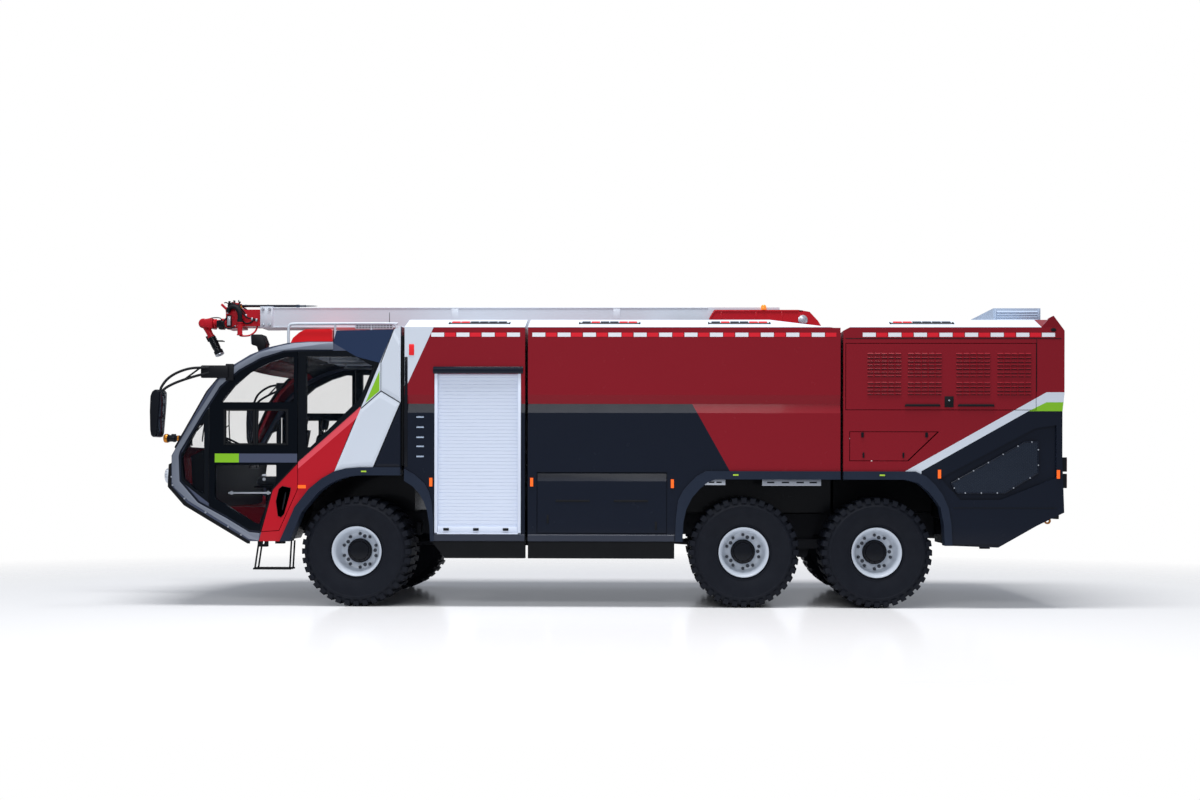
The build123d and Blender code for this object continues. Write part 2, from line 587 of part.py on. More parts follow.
with BuildPart() as locker_module:
    add(body_section(LOCKER_X, True, True))
    add(block((0, 3000), (-1600, 1600), (0, SILL)), mode=Mode.SUBTRACT)
    add(side_prism([(500, 500), (500, 1700), *LOCKER_ARCH, (962, 500)], -1600, 1600), mode=Mode.SUBTRACT)
    add(block((500, 2200), (-CHANNEL_Y, CHANNEL_Y), (500, CHANNEL_Z)), mode=Mode.SUBTRACT)
    for low, high, depth in ((SHUTTER[0], SHUTTER[1], 60.0), ((1010, 935), (1984, 2815), 800.0)):
        add(both_sides(side_prism(rect(low, high), -1600, -HALF_WIDTH + depth)), mode=Mode.SUBTRACT)
    for z in VENT_Z:
        add(both_sides(block(VENT_X, (-HALF_WIDTH - 10, -HALF_WIDTH + 14), (z - 13, z + 12))),
            mode=Mode.SUBTRACT)
    # pad under the stowed boom
    add(block((1250, 1450), (-230, 230), (TROUGH_Z, BOOM_Z - BOOM_H / 2 - 16)))
save(locker_module.part, "locker_module")

SLATS = 44
with BuildPart() as shutter:
    low, high = SHUTTER
    pitch = (high[1] - low[1] - 80) / SLATS
    face, back = -HALF_WIDTH + 22, -HALF_WIDTH + 22 + SHUTTER_T
    points = [(back, low[1]), (face - 10, low[1]), (face - 10, low[1] + 80)]
    for i in range(SLATS):
        z = low[1] + 80 + pitch * i
        points += [(face, z + 3), (face, z + pitch - 4), (face + 5, z + pitch - 1)]
    add(cross_prism([*points, (face, high[1]), (back, high[1])], low[0], high[0]))
with BuildPart() as roller_shutters:
    add(shutter.part)
    mirror(about=Plane.XZ)
save(roller_shutters.part, "roller_shutters")

REAR_ARCH_FRONT = [(3913, SILL), (3925, 1090), (3950, 1308), (4010, 1430), (4096, 1529), (4180, 1610),
                   (4290, ARCH_TOP)]
REAR_ARCH_FRONT_IN = [(4005, SILL), (4015, 1040), (4050, 1200), (4120, 1345), (4218, 1456), (4310, 1535),
                      (4402, 1571)]
REAR_ARCH_BACK = [(6836, ARCH_TOP), (6970, 1610), (7079, 1506), (7170, 1380), (7236, 1228), (7270, 1040),
                  (7285, 767)]
REAR_ARCH_BACK_IN = [(6715, 1571), (6870, 1530), (6994, 1425), (7080, 1320), (7139, 1230), (7180, 1020),
                     (7195, 767)]
CENTRE_Y = 560.0                 # half width of the tank between the rear wheels
FLAP = ((2222, 904), (3815, 1655))
FLAP_REBATE = 45.0
# what is cut off the roof's edges at the rear end
TANK_SLOPE = [(5080, ROOF_Z + 1), (5840, TROUGH_Z), (5930, TROUGH_Z), (5930, 3600), (5080, 3600)]

with BuildPart() as tank_module:
    add(body_section(TANK_X, True, True, deck_only=True))
    add(block((2000, 6000), (-1600, 1600), (0, SILL)), mode=Mode.SUBTRACT)
    over_wheels = [*REAR_ARCH_FRONT, (6000, ARCH_TOP), (6000, 500), (3913, 500)]
    add(both_sides(side_prism(over_wheels, -1600, -CENTRE_Y)), mode=Mode.SUBTRACT)
    add(block((2000, 3914), (-CHANNEL_Y, CHANNEL_Y), (500, CHANNEL_Z)), mode=Mode.SUBTRACT)
    add(block((3913, 6000), (-CENTRE_Y - 1, CENTRE_Y + 1), (500, CHANNEL_Z)), mode=Mode.SUBTRACT)
    low, high = FLAP
    add(both_sides(side_prism(rect(low, high), -1600, -HALF_WIDTH + PANEL_T + 2)), mode=Mode.SUBTRACT)
    add(both_sides(side_prism(rect(low, high), -1600, -700, inset=FLAP_REBATE)), mode=Mode.SUBTRACT)
# raised edges of the roof, on the deck over a sealed joint of half a millimetre
EDGE = [(-HALF_WIDTH, TROUGH_Z + 0.5), (-HALF_WIDTH, SHOULDER_Z), (-SHOULDER_Y, ROOF_Z), (-TROUGH_Y, ROOF_Z),
        (-TROUGH_Y, TROUGH_Z + 0.5)]
with BuildPart() as tank_edges:
    add(both_sides(cross_prism(EDGE, *TANK_X)))
    add(side_prism(TANK_SLOPE, -1600, 1600), mode=Mode.SUBTRACT)
    add(tank_module.part)
save(tank_edges.part, "tank_module")

# Locker flap: hinged at the outer corner of its bevelled foot, with the crease line's slope along its top
with BuildPart() as locker_flap:
    low, high = FLAP[0][1] + GAP, FLAP[1][1] - GAP
    section = [(-HALF_WIDTH, low), (-HALF_WIDTH, 1545), (-HALF_WIDTH + 28, high), (-HALF_WIDTH + PANEL_T, high),
               (-HALF_WIDTH + PANEL_T, low + PANEL_T)]
    add(cross_prism(section, FLAP[0][0] + GAP, FLAP[1][0] - GAP))
save(locker_flap.part, "locker_flap_left")
save(right_side(locker_flap.part), "locker_flap_right")

ENGINE_OUTLINE = [(ENGINE_X[0], ARCH_TOP), *REAR_ARCH_BACK, (7842, 747), (8314, 1016), (8640, 1175),
                  (8616, 1816), (8616, 2408), (8640, 2625), (8640, 3386), (8520, ROOF_Z), (6290, ROOF_Z),
                  (6083, 3450), (5961, 3386)]
ENGINE_DOOR = ((5985, 2417), (8302, 3235))
HATCH = [(6034, 2158), (7127, 2158), (6751, 1796), (6034, 1796)]
HATCH_PANEL, HATCH_T = [(6034, 2158), (7118, 2158), (6742, 1796), (6034, 1796)], 26.0
GRILLE_RECESS = [(7139, 1591), (7382, 1326), (7866, 1328), (8544, 1598), (8544, 2238), (8290, 2201)]
FIN = [(8362, SHOULDER_Z), (8459, 3543), (8507, 3568), (8640, 3386), (8640, 3300), (8362, 3300)]
GRILLE_Y = (-HALF_WIDTH + 14, -HALF_WIDTH + 36)      # the grille fills the recess's back
GRILLE = [(7273, 1531), (7345, 1411), (7927, 1413), (8326, 1657), (8326, 2032), (8169, 2032)]

with BuildPart() as engine_module:
    add(body_section(ENGINE_X, False, False))
    add(side_prism(ENGINE_OUTLINE, -1600, 1600), mode=Mode.INTERSECT)
    # engine bay, open at both sides behind the doors and below between the rails
    behind_doors = HALF_WIDTH - PANEL_T - 2
    add(block((6001, 8262), (-behind_doors, behind_doors), (1760, 3250)), mode=Mode.SUBTRACT)
    add(block((5900, RAIL_REAR + 8), (-CHANNEL_Y, CHANNEL_Y), (500, CHANNEL_Z)), mode=Mode.SUBTRACT)
    add(block((6001, 8262), (-CHANNEL_Y, CHANNEL_Y), (500, 1800)), mode=Mode.SUBTRACT)
    for opening in (rect(*ENGINE_DOOR), HATCH):
        add(both_sides(side_prism(opening, -1600, -HALF_WIDTH + PANEL_T + 2)), mode=Mode.SUBTRACT)
    add(both_sides(side_prism(GRILLE_RECESS, -1600, GRILLE_Y[1])), mode=Mode.SUBTRACT)
    # fins that close the roof's rear corners
    add(both_sides(side_prism(FIN, -HALF_WIDTH, -HALF_WIDTH + 60)))
save(engine_module.part, "engine_module")


def top_hinged(outline, top, thick):
    """A panel hung from its outer top corner, with its top edge bevelled so that it clears the frame."""
    low, high = top - GAP - thick, top - GAP
    bevel = [(-HALF_WIDTH - 5, high + 5), (-HALF_WIDTH - 5, high), (-HALF_WIDTH, high),
             (-HALF_WIDTH + thick + 5, low - 5), (-HALF_WIDTH + thick + 5, high + 5)]
    with BuildPart(mode=Mode.PRIVATE) as panel:
        add(side_prism(outline, -HALF_WIDTH, -HALF_WIDTH + thick, inset=GAP))
        add(cross_prism(bevel, 5000, 9000), mode=Mode.SUBTRACT)
    return panel.part


# (first station) of a group of louvres, and (lowest height, rows); each louvre opens downwards
LOUVRE_X, LOUVRE_LENGTH = (6253, 6742, 7330, 7826), 408
LOUVRE_Z, LOUVRE_PITCH = ((2828, 7), (2609, 4)), 44.5
LOUVRE_SECTION = [(1, 0), (-11, 3), (1, 22)]
with BuildPart() as engine_door:
    add(top_hinged(rect(*ENGINE_DOOR), ENGINE_DOOR[1][1], PANEL_T))
    for x in LOUVRE_X:
        for z, rows in LOUVRE_Z:
            for row in range(rows):
                points = [(-HALF_WIDTH + y, z + LOUVRE_PITCH * row + rise) for y, rise in LOUVRE_SECTION]
                add(cross_prism(points, x, x + LOUVRE_LENGTH))

for made, name in ((engine_door.part, "engine_door"),
                   (top_hinged(HATCH_PANEL, HATCH[0][1], HATCH_T), "side_hatch")):
    save(made, f"{name}_left")
    save(right_side(made), f"{name}_right")

with BuildPart() as grilles:
    add(both_sides(side_prism(GRILLE, *GRILLE_Y)))
save(grilles.part, "intake_grilles")

with BuildPart() as trims:
    for outer, inner in ((CAB_ARCH, CAB_ARCH_IN), (LOCKER_ARCH, LOCKER_ARCH_IN)):
        add(both_sides(side_prism([*outer, *reversed(inner)], -HALF_WIDTH - 20, -HALF_WIDTH + 160)))
    front_run = [*REAR_ARCH_FRONT, (TANK_X[1], ARCH_TOP), (TANK_X[1], 1571), *reversed(REAR_ARCH_FRONT_IN)]
    back_run = [(ENGINE_X[0], ARCH_TOP), *REAR_ARCH_BACK, *reversed(REAR_ARCH_BACK_IN), (ENGINE_X[0], 1571)]
    for run in (front_run, back_run):
        add(both_sides(side_prism(run, -HALF_WIDTH - 20, -HALF_WIDTH + 160)))
save(trims.part, "arch_trims")

with BuildPart() as skirts:
    for x0, x1, cut in ((925, LOCKER_X[1], 170), (TANK_X[0], 3905, 0)):
        outline = [(x0, SILL), (x1, SILL), (x1, 598), (x0 + cut, 598)]
        add(both_sides(side_prism(outline, -HALF_WIDTH + 20, -HALF_WIDTH + 120)))
save(skirts.part, "side_skirts")

with BuildPart() as exhaust:
    add(block((7997, 8660 - 60), (-620, 620), (ROOF_Z, 3770)))
save(exhaust.part, "exhaust_housing")

# Lamps on the sides and the rear: (station, height, length along X, height)
MARKERS = [(925, 1530, 36, 105), (2161, 1532, 36, 105), (3880, 1516, 36, 105), (7067 + 60, 1640, 36, 105),
           (8565, 1640, 36, 105), (-661, 1470, 95, 40)]
# light bars on the slope at the roof's edge: (front, rear)
EDGE_LIGHTS = [(1128, 1866), (2737, 3472), (4328, 5073), (6557, 7321)]
slope = Vector(0, SHOULDER_Y - HALF_WIDTH, ROOF_Z - SHOULDER_Z).normalized()
lift = Vector(0, -slope.Z, -slope.Y) * -1
edge = Vector(0, HALF_WIDTH, SHOULDER_Z)
EDGE_SECTION = [edge + slope * a + lift * b for a, b in ((130, -1), (205, -1), (200, 18), (135, 18))]
with BuildPart() as lamps:
    for ends in EDGE_LIGHTS:
        add(both_sides(cross_prism([(v.Y, v.Z) for v in EDGE_SECTION], *ends)))
    for x, z, length, height in MARKERS:
        lens = block((x - length / 2, x + length / 2), (-HALF_WIDTH - 14, -HALF_WIDTH),
                     (z - height / 2, z + height / 2))
        add(both_sides(lens))
    for z in (1560, 1760):
        add(both_sides(block((8600, 8690), (-1440, -1240), (z - 75, z + 75))))
    for module in (engine_module, locker_module, tank_edges):
        add(module.part, mode=Mode.SUBTRACT)
save(lamps.part, "marker_lamps")

# ---------------------------------------------------------------- boom
CHEEK_Y = (180.0, 215.0)
CYLINDER_Y = (255.0, 365.0)      # a lift cylinder on each side, outside the cheeks
CYLINDER_FOOT = (4760.0, 3530.0)
CYLINDER_EYE = (3650.0, 3600.0)  # on the boom
CYLINDER_PIN_R = 24.0
BOSS_R = 30.0                    # boss beside the rod's eye, flush with the boom's underside
PIN_GAP = 0.5
half_w, half_h = BOOM_W / 2, BOOM_H / 2

with BuildPart() as turret:
    add(flat_bar(Plane.XY.offset(TROUGH_Z).move(Location((TURRET_X, 0, 0))), 480, 60, 24))
    cheek = [(4700, 3470), (4368, 3570), (4368, 3697), (4433, 3802), (5542, 3802), (5690, 3776), (5800, 3658),
             (5860, 3560), (5600, 3470)]
    for side in (-1, 1):
        add(side_prism(cheek, *sorted((side * CHEEK_Y[0], side * CHEEK_Y[1]))))
        add(lateral_rod(*CYLINDER_FOOT, CYLINDER_PIN_R, *sorted((side * CHEEK_Y[0], side * CYLINDER_Y[1]))))
    add(lateral_rod(*BOOM_PIVOT, PIVOT_R + PIN_GAP, -300, 300), mode=Mode.SUBTRACT)
save(turret.part, "boom_turret")

with BuildPart() as boom_outer:
    add(block((BOOM_FRONT, BOOM_REAR), (-half_w, half_w), (BOOM_Z - half_h, BOOM_Z + half_h)))
    add(block((BOOM_FRONT, BOOM_FRONT + 170), (-half_w - 12, half_w + 12),
              (BOOM_Z - half_h, BOOM_Z + half_h + 12)))
    for side in (-1, 1):
        add(lateral_rod(*CYLINDER_EYE, BOSS_R, *sorted((side * (half_w - 5), side * (CYLINDER_Y[0] - 5)))))
    add(block((BOOM_FRONT - 10, BOOM_REAR - 200), (-half_w + BOOM_WALL, half_w - BOOM_WALL),
              (BOOM_Z - half_h + BOOM_WALL, BOOM_Z + half_h - BOOM_WALL)), mode=Mode.SUBTRACT)
    add(block((BOOM_REAR - 1, BOOM_PIVOT[0] + 70), (-half_w, half_w), (BOOM_Z - half_h, BOOM_Z + 60)))
    add(lateral_rod(*BOOM_PIVOT, PIVOT_R, -CHEEK_Y[1], CHEEK_Y[1]))
save(boom_outer.part, "boom_outer")

HEAD = [(HEAD_X, 3570), (HEAD_X, 3840), (HEAD_X - 60, 3845), (HEAD_X - 200, 3845), (HEAD_X - 200, 3560)]
in_w, in_h = half_w - BOOM_WALL - INNER_GAP, half_h - BOOM_WALL - INNER_GAP
with BuildPart() as boom_inner:
    add(block((HEAD_X, INNER_REAR), (-in_w, in_w), (BOOM_Z - in_h, BOOM_Z + in_h)))
    add(block((HEAD_X + 10, INNER_REAR + 10), (-in_w + 12, in_w - 12),
              (BOOM_Z - in_h + 12, BOOM_Z + in_h - 12)),
        mode=Mode.SUBTRACT)
    add(side_prism(HEAD, -150, 150))
    # ears of the piercing lance
    for y in (-60, 40):
        add(block((LANCE_PIVOT[0] - 40, LANCE_PIVOT[0] + 40), (y, y + 20), (3840, LANCE_PIVOT[1] + 35)))
    add(block((HEAD_X - 200, HEAD_X - 160), (90, 130), (3840, 3947)))      # valve block
    add(lateral_rod(*LANCE_PIVOT, 15 + PIN_GAP, -100, 100), mode=Mode.SUBTRACT)
save(boom_inner.part, "boom_inner")

# Lance that lies back over the boom and swings forward
with BuildPart() as lance:
    add(lateral_rod(*LANCE_PIVOT, 15, -60, 60))
    for start, reach, radius, tip in ((0, 820, 20, 20), (819, 261, 16, 3)):
        origin = (LANCE_PIVOT[0] + start, 0, LANCE_PIVOT[1])
        add(flat_bar(Plane(origin=origin, z_dir=(1, 0, 0)), radius, reach, 10, tip))
save(lance.part, "piercing_lance")

# Lift cylinders: barrels hinged on the turret, rods pinned to the boom
run = (CYLINDER_EYE[0] - CYLINDER_FOOT[0], CYLINDER_EYE[1] - CYLINDER_FOOT[1])
length = hypot(*run)
along = Vector(run[0] / length, 0, run[1] / length)
foot, eye = Vector(CYLINDER_FOOT[0], 0, CYLINDER_FOOT[1]), Vector(CYLINDER_EYE[0], 0, CYLINDER_EYE[1])


def tube_along(start, end, y, radius, inner=0.0):
    """A round bar or tube parallel to the lift cylinders, from one distance from the foot to another."""
    with BuildPart(mode=Mode.PRIVATE) as made:
        plane = Plane(origin=foot + along * start + Vector(0, y, 0), z_dir=along)
        add(flat_bar(plane, radius, end - start))
        if inner:
            add(flat_bar(plane, inner, end - start), mode=Mode.SUBTRACT)
    return made.part


with BuildPart() as barrels:
    for side in (-1, 1):
        y = side * sum(CYLINDER_Y) / 2
        add(tube_along(50, 900, y, 52, 36))
        add(tube_along(40, 90, y, 52))
        add(lateral_rod(*CYLINDER_FOOT, 46, *sorted((side * CYLINDER_Y[0], side * CYLINDER_Y[1]))))
        bore = lateral_rod(*CYLINDER_FOOT, CYLINDER_PIN_R + PIN_GAP, *sorted((side * 200, side * 400)))
        add(bore, mode=Mode.SUBTRACT)
save(barrels.part, "lift_barrels")

with BuildPart() as rods:
    for side in (-1, 1):
        y = side * sum(CYLINDER_Y) / 2
        add(tube_along(140, length - 30, y, 30))
        add(tube_along(140, 230, y, 35.5))
        add(lateral_rod(*CYLINDER_EYE, 46, *sorted((side * CYLINDER_Y[0], side * CYLINDER_Y[1]))))
        # the pin belongs to the rod's eye, and its end turns against the boss on the boom
        add(lateral_rod(*CYLINDER_EYE, CYLINDER_PIN_R,
                        *sorted((side * (CYLINDER_Y[0] - 4), side * (CYLINDER_Y[1] + 12)))))
save(rods.part, "lift_rods")

# Monitor on the boom's head: a pipe that turns about its own length, and a nozzle hinged at its end
FORK = [(MONITOR_PIVOT[0] + 130, 3560), (MONITOR_PIVOT[0] - 50, 3590), (MONITOR_PIVOT[0] - 50, 3690),
        (MONITOR_PIVOT[0] + 130, 3720)]
with BuildPart() as elbow:
    pipe = HEAD_X - 200.3 - MONITOR_PIVOT[0]
    add(flat_bar(Plane(origin=(MONITOR_PIVOT[0], 0, MONITOR_PIVOT[1]), z_dir=(1, 0, 0)), 60, pipe))
    for y in (-105, 75):
        add(side_prism(FORK, y, y + 30))
    add(block((MONITOR_PIVOT[0] + 95, MONITOR_PIVOT[0] + 130), (-105, 105), (3570, 3715)))
    add(block((MONITOR_PIVOT[0] - 100, MONITOR_PIVOT[0] + 94), (-74, 74), (3500, 3800)), mode=Mode.SUBTRACT)
    add(lateral_rod(*MONITOR_PIVOT, 20 + PIN_GAP, -200, 200), mode=Mode.SUBTRACT)
save(elbow.part, "monitor_elbow")

pivot = Vector(MONITOR_PIVOT[0], 0, MONITOR_PIVOT[1])
aim = Vector(*MONITOR_AIM).normalized()
with BuildPart() as nozzle:
    add(lateral_bar(*MONITOR_PIVOT, 66, -70, 70, 16))
    add(lateral_rod(*MONITOR_PIVOT, 20, -104, 104))
    for start, reach, radius, tip in ((40, 170, 46, 40), (200, 190, 55, 55), (380, 90, 62, 52)):
        add(flat_bar(Plane(origin=pivot + aim * start, z_dir=aim), radius, reach, 12, tip))
save(nozzle.part, "monitor_nozzle")

# Bumper monitor: bracket on the nose, a turning column and a hinged nozzle
px, pz = BUMPER_PIVOT
with BuildPart() as bumper_base:
    arm = [(-2500, 1700), (-2500, 1860), (px + 60, 1900), (px - 60, 1900), (px - 60, 1860), (-2545, 1700)]
    add(side_prism(arm, -70, 70))
    add(cab_envelope(0), mode=Mode.SUBTRACT)
    add(guard.part, mode=Mode.SUBTRACT)
save(bumper_base.part, "bumper_bracket")

with BuildPart() as column:
    with Locations((px, 0, 1900.3 + 60)):
        Cylinder(50, 120)
    add(block((px - 50, px + 50), (-85, 85), (2000, 2030)))
    for y in (-85, 60):
        add(block((px - 45, px + 45), (y, y + 25), (2000, pz + 45)))
    add(lateral_rod(px, pz, 16 + PIN_GAP, -200, 200), mode=Mode.SUBTRACT)
save(column.part, "bumper_column")

with BuildPart() as bumper_nozzle:
    add(lateral_bar(px, pz, 48, -56, 56))
    add(lateral_rod(px, pz, 16, -84, 84))
    for start, reach, radius in ((30, 130, 40), (150, 110, 52), (250, 54, 60)):
        add(flat_bar(Plane(origin=(px - start, 0, pz), z_dir=(-1, 0, 0)), radius, reach))
save(bumper_nozzle.part, "bumper_nozzle")
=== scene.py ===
"""Finishes, small parts, camera and light of the airport fire truck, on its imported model.

Pieces are drawn in the vehicle's own measure: X is metres behind the front axle, Y is metres to the right of
the middle and Z is metres above the ground.
"""

import json
import logging
import math
from collections.abc import Iterable, Sequence
from dataclasses import dataclass
from enum import Enum
from typing import NamedTuple

import bmesh
import bpy
from mathutils import Matrix, Vector

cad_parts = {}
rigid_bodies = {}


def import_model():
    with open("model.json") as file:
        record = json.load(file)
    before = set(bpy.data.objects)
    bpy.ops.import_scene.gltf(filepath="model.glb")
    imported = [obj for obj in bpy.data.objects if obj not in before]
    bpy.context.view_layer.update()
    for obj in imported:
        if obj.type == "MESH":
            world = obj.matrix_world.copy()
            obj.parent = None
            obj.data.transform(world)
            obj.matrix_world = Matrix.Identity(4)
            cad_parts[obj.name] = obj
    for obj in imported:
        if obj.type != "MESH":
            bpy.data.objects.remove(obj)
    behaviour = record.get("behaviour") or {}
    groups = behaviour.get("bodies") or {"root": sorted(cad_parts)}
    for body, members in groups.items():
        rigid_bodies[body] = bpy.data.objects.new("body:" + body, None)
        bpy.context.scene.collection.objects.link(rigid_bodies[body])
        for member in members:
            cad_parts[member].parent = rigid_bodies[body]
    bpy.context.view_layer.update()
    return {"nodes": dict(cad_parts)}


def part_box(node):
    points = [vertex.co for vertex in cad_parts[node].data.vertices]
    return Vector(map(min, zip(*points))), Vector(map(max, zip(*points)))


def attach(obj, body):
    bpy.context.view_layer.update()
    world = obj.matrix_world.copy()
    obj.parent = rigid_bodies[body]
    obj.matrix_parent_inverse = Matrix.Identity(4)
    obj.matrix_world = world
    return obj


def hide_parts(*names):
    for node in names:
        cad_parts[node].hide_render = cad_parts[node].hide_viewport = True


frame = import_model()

LOG = logging.getLogger("fire_truck")

Point = tuple[float, float]
Colour = tuple[float, float, float]
Span = tuple[float, float]
Outline = tuple[Point, ...]
Row = tuple[float, float, float, float, float, float]
Place = Vector | tuple[float, float, float]


def middle(node: str) -> Vector:
    """The middle of a CAD node's box."""
    low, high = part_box(node)
    return (low + high) / 2


AXLE_X = middle("tyre_front_left").x
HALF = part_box("tank_module")[1].y
WHEEL_R = (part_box("tyre_front_left")[1].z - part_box("tyre_front_left")[0].z) / 2
WHEEL_Y = -middle("tyre_front_left").y
AXLES = tuple(middle(f"tyre_{end}_left").x - AXLE_X for end in ("front", "mid", "rear"))


def srgb(code: str) -> Colour:
    """A colour written as six hexadecimal digits, as linear red, green and blue."""
    parts = [int(code[i:i + 2], 16) / 255 for i in (0, 2, 4)]
    return tuple(c / 12.92 if c <= 0.04045 else ((c + 0.055) / 1.055) ** 2.4 for c in parts)


def metres(points: Iterable[Point]) -> list[Point]:
    """A table of points in millimetres, in metres."""
    return [(a / 1000, b / 1000) for a, b in points]


def wall(out: float, depth: float) -> Span:
    """A span of Y that stands out of the left wall and goes into it by so much."""
    return (-HALF - out, -HALF + depth)


def about(centre: float, half: float) -> Span:
    """A span about its middle."""
    return (centre - half, centre + half)


def rounded(path: Sequence[Place], steps: int = 5) -> list[Vector]:
    """A smooth path through a few points."""
    points = [Vector(p) for p in path]
    ends = [points[0] * 2 - points[1], *points, points[-1] * 2 - points[-2]]
    out = []
    for i in range(1, len(ends) - 2):
        a, b, c, d = ends[i - 1:i + 3]
        for n in range(steps):
            t = n / steps
            out.append(0.5 * ((2 * b) + (c - a) * t + (2 * a - 5 * b + 4 * c - d) * t * t
                              + (3 * b - a - 3 * c + d) * t ** 3))
    return [*out, points[-1]]


def turns(count: int, first: float = 0.0) -> list[Point]:
    """Cosine and sine of equal steps round a circle, from a first one given in steps."""
    return [(math.cos(a), math.sin(a)) for a in (2 * math.pi * (i + first) / count for i in range(count))]


class Axis(Enum):
    """The way a turned piece points."""

    X = 0
    Y = 1
    Z = 2


class Sides(Enum):
    """Which sides of the vehicle a piece is on."""

    LEFT = "left"
    BOTH = "both"
    PAIR = "pair"
    MIDDLE = "middle"


# ------------------------------------------------------------------------------------------------- meshes
class Shape:
    """Mesh parts gathered into one piece."""

    def __init__(self) -> None:
        """Starts empty."""
        self.bm = bmesh.new()

    def _close(self, verts: list, bevel: float) -> "Shape":
        """Points the new faces outwards and rounds their edges.

        Args:
            verts: The new part's vertices.
            bevel: Width of the rounding, 0 for none.

        Returns:
            This shape.
        """
        faces = list({f for v in verts for f in v.link_faces})
        bmesh.ops.recalc_face_normals(self.bm, faces=faces)
        if bevel:
            edges = list({e for v in verts for e in v.link_edges if len(e.link_faces) == 2
                          and e.calc_face_angle(0) > 0.35})
            bmesh.ops.bevel(self.bm, geom=edges, offset=bevel, segments=2, profile=0.5, affect="EDGES")
        return self

    def prism(self, ends: Sequence[Sequence[Place]], bevel: float = 0.0) -> "Shape":
        """A body between two outlines with the same number of corners."""
        rings = [[self.bm.verts.new(p) for p in ring] for ring in ends]
        count = len(rings[0])
        for a, b in zip(rings, rings[1:]):
            for i in range(count):
                self.bm.faces.new((a[i], a[(i + 1) % count], b[(i + 1) % count], b[i]))
        self.bm.faces.new(rings[0][::-1])
        self.bm.faces.new(rings[-1])
        return self._close([v for ring in rings for v in ring], bevel)

    def slab(self, outline: Sequence[Point], y: Span, bevel: float = 0.0) -> "Shape":
        """An outline in X and Z, between two values of Y."""
        return self.prism([[(a, v, b) for a, b in outline] for v in y], bevel)

    def bar(self, outline: Sequence[Point], x: Span, bevel: float = 0.0) -> "Shape":
        """An outline in Y and Z, between two values of X."""
        return self.prism([[(v, a, b) for a, b in outline] for v in x], bevel)

    def box(self, x: Span, y: Span, z: Span, bevel: float = 0.0) -> "Shape":
        """A box from its three spans."""
        return self.slab([(x[0], z[0]), (x[1], z[0]), (x[1], z[1]), (x[0], z[1])], y, bevel)

    def turn(self, profile: Sequence[Point], centre: Place, axis: Axis, steps: int = 48,
             closed: bool = False) -> "Shape":
        """A profile turned round an axis.

        Args:
            profile: Points as (radius, distance along the axis).
            centre: Where distance 0 lies on the axis.
            axis: The axis it is turned round.
            steps: Flat steps in a whole turn.
            closed: True for a ring whose profile is a closed loop.

        Returns:
            This shape.
        """
        rings, made = [], []
        for radius, along in profile:
            ring = []
            for i in range(steps if radius > 1e-6 else 1):
                turn = 2 * math.pi * i / steps
                around = (radius * math.cos(turn), radius * math.sin(turn))
                spot = [0.0, 0.0, 0.0]
                spot[axis.value] = along
                spot[(axis.value + 1) % 3], spot[(axis.value + 2) % 3] = around
                ring.append(self.bm.verts.new(Vector(centre) + Vector(spot)))
            rings.append(ring)
            made += ring
        pairs = list(zip(rings, rings[1:])) + ([(rings[-1], rings[0])] if closed else [])
        for a, b in pairs:
            for i in range(steps):
                corners = [a[i % len(a)], a[(i + 1) % len(a)], b[(i + 1) % len(b)], b[i % len(b)]]
                corners = [v for n, v in enumerate(corners) if v not in corners[:n]]
                if len(corners) > 2:
                    self.bm.faces.new(corners)
        if not closed:
            for ring in (rings[0], rings[-1]):
                if len(ring) > 2:
                    self.bm.faces.new(ring)
        return self._close(made, 0.0)

    def drum(self, radius: float, along: Span, centre: Place, axis: Axis, steps: int = 48) -> "Shape":
        """A cylinder round an axis, between two distances along it."""
        return self.turn([(0.0, along[0]), (radius, along[0]), (radius, along[1]), (0.0, along[1])], centre,
                         axis, steps)

    def rod(self, start: Place, end: Place, radius: float, sides: int = 12,
            tip: float | None = None) -> "Shape":
        """A straight round bar, with its far end's radius given by tip."""
        return self.tube([start, end], radius, sides, tip)

    def tube(self, path: Sequence[Place], radius: float, sides: int = 10,
             tip: float | None = None) -> "Shape":
        """A round bar along a path of points."""
        points = [Vector(p) for p in path]
        rings: list[list[Vector]] = []
        side = None
        for i, spot in enumerate(points):
            ahead = points[min(i + 1, len(points) - 1)] - points[max(i - 1, 0)]
            ahead.normalize()
            if side is None:
                side = ahead.orthogonal().normalized()
            side = (side - ahead * side.dot(ahead)).normalized()
            other = ahead.cross(side)
            size = radius if tip is None else radius + (tip - radius) * i / (len(points) - 1)
            rings.append([spot + (side * math.cos(t) + other * math.sin(t)) * size
                          for t in (2 * math.pi * n / sides for n in range(sides))])
        return self.prism(rings)

    def pipe(self, path: Sequence[Place], radius: float, sides: int = 10, steps: int = 5) -> "Shape":
        """A round bar along a smooth path through a few points."""
        return self.tube(rounded(path, steps), radius, sides)

    def take(self, other: "Shape", move: Matrix = Matrix.Identity(4)) -> "Shape":
        """Adds a copy of another shape, moved."""
        mesh = bpy.data.meshes.new("part")
        other.bm.to_mesh(mesh)
        mesh.transform(move)
        if move.determinant() < 0:
            mesh.flip_normals()
        self.bm.from_mesh(mesh)
        bpy.data.meshes.remove(mesh)
        return self

    def mirrored(self) -> "Shape":
        """The same shape on the other side of the vehicle."""
        return Shape().take(self, Matrix.Diagonal((1, -1, 1, 1)))

    def repeat(self, unit: "Shape", pattern: "Pattern", **sizes) -> "Shape":
        """Adds what a pattern makes of a unit.

        Args:
            unit: The shape that is repeated.
            pattern: The node tree that repeats it.
            **sizes: The tree's inputs by name, with _ for a space.

        Returns:
            This shape.
        """
        made = pattern.apply(unit, sizes)
        self.bm.from_mesh(made)
        bpy.data.meshes.remove(made)
        return self

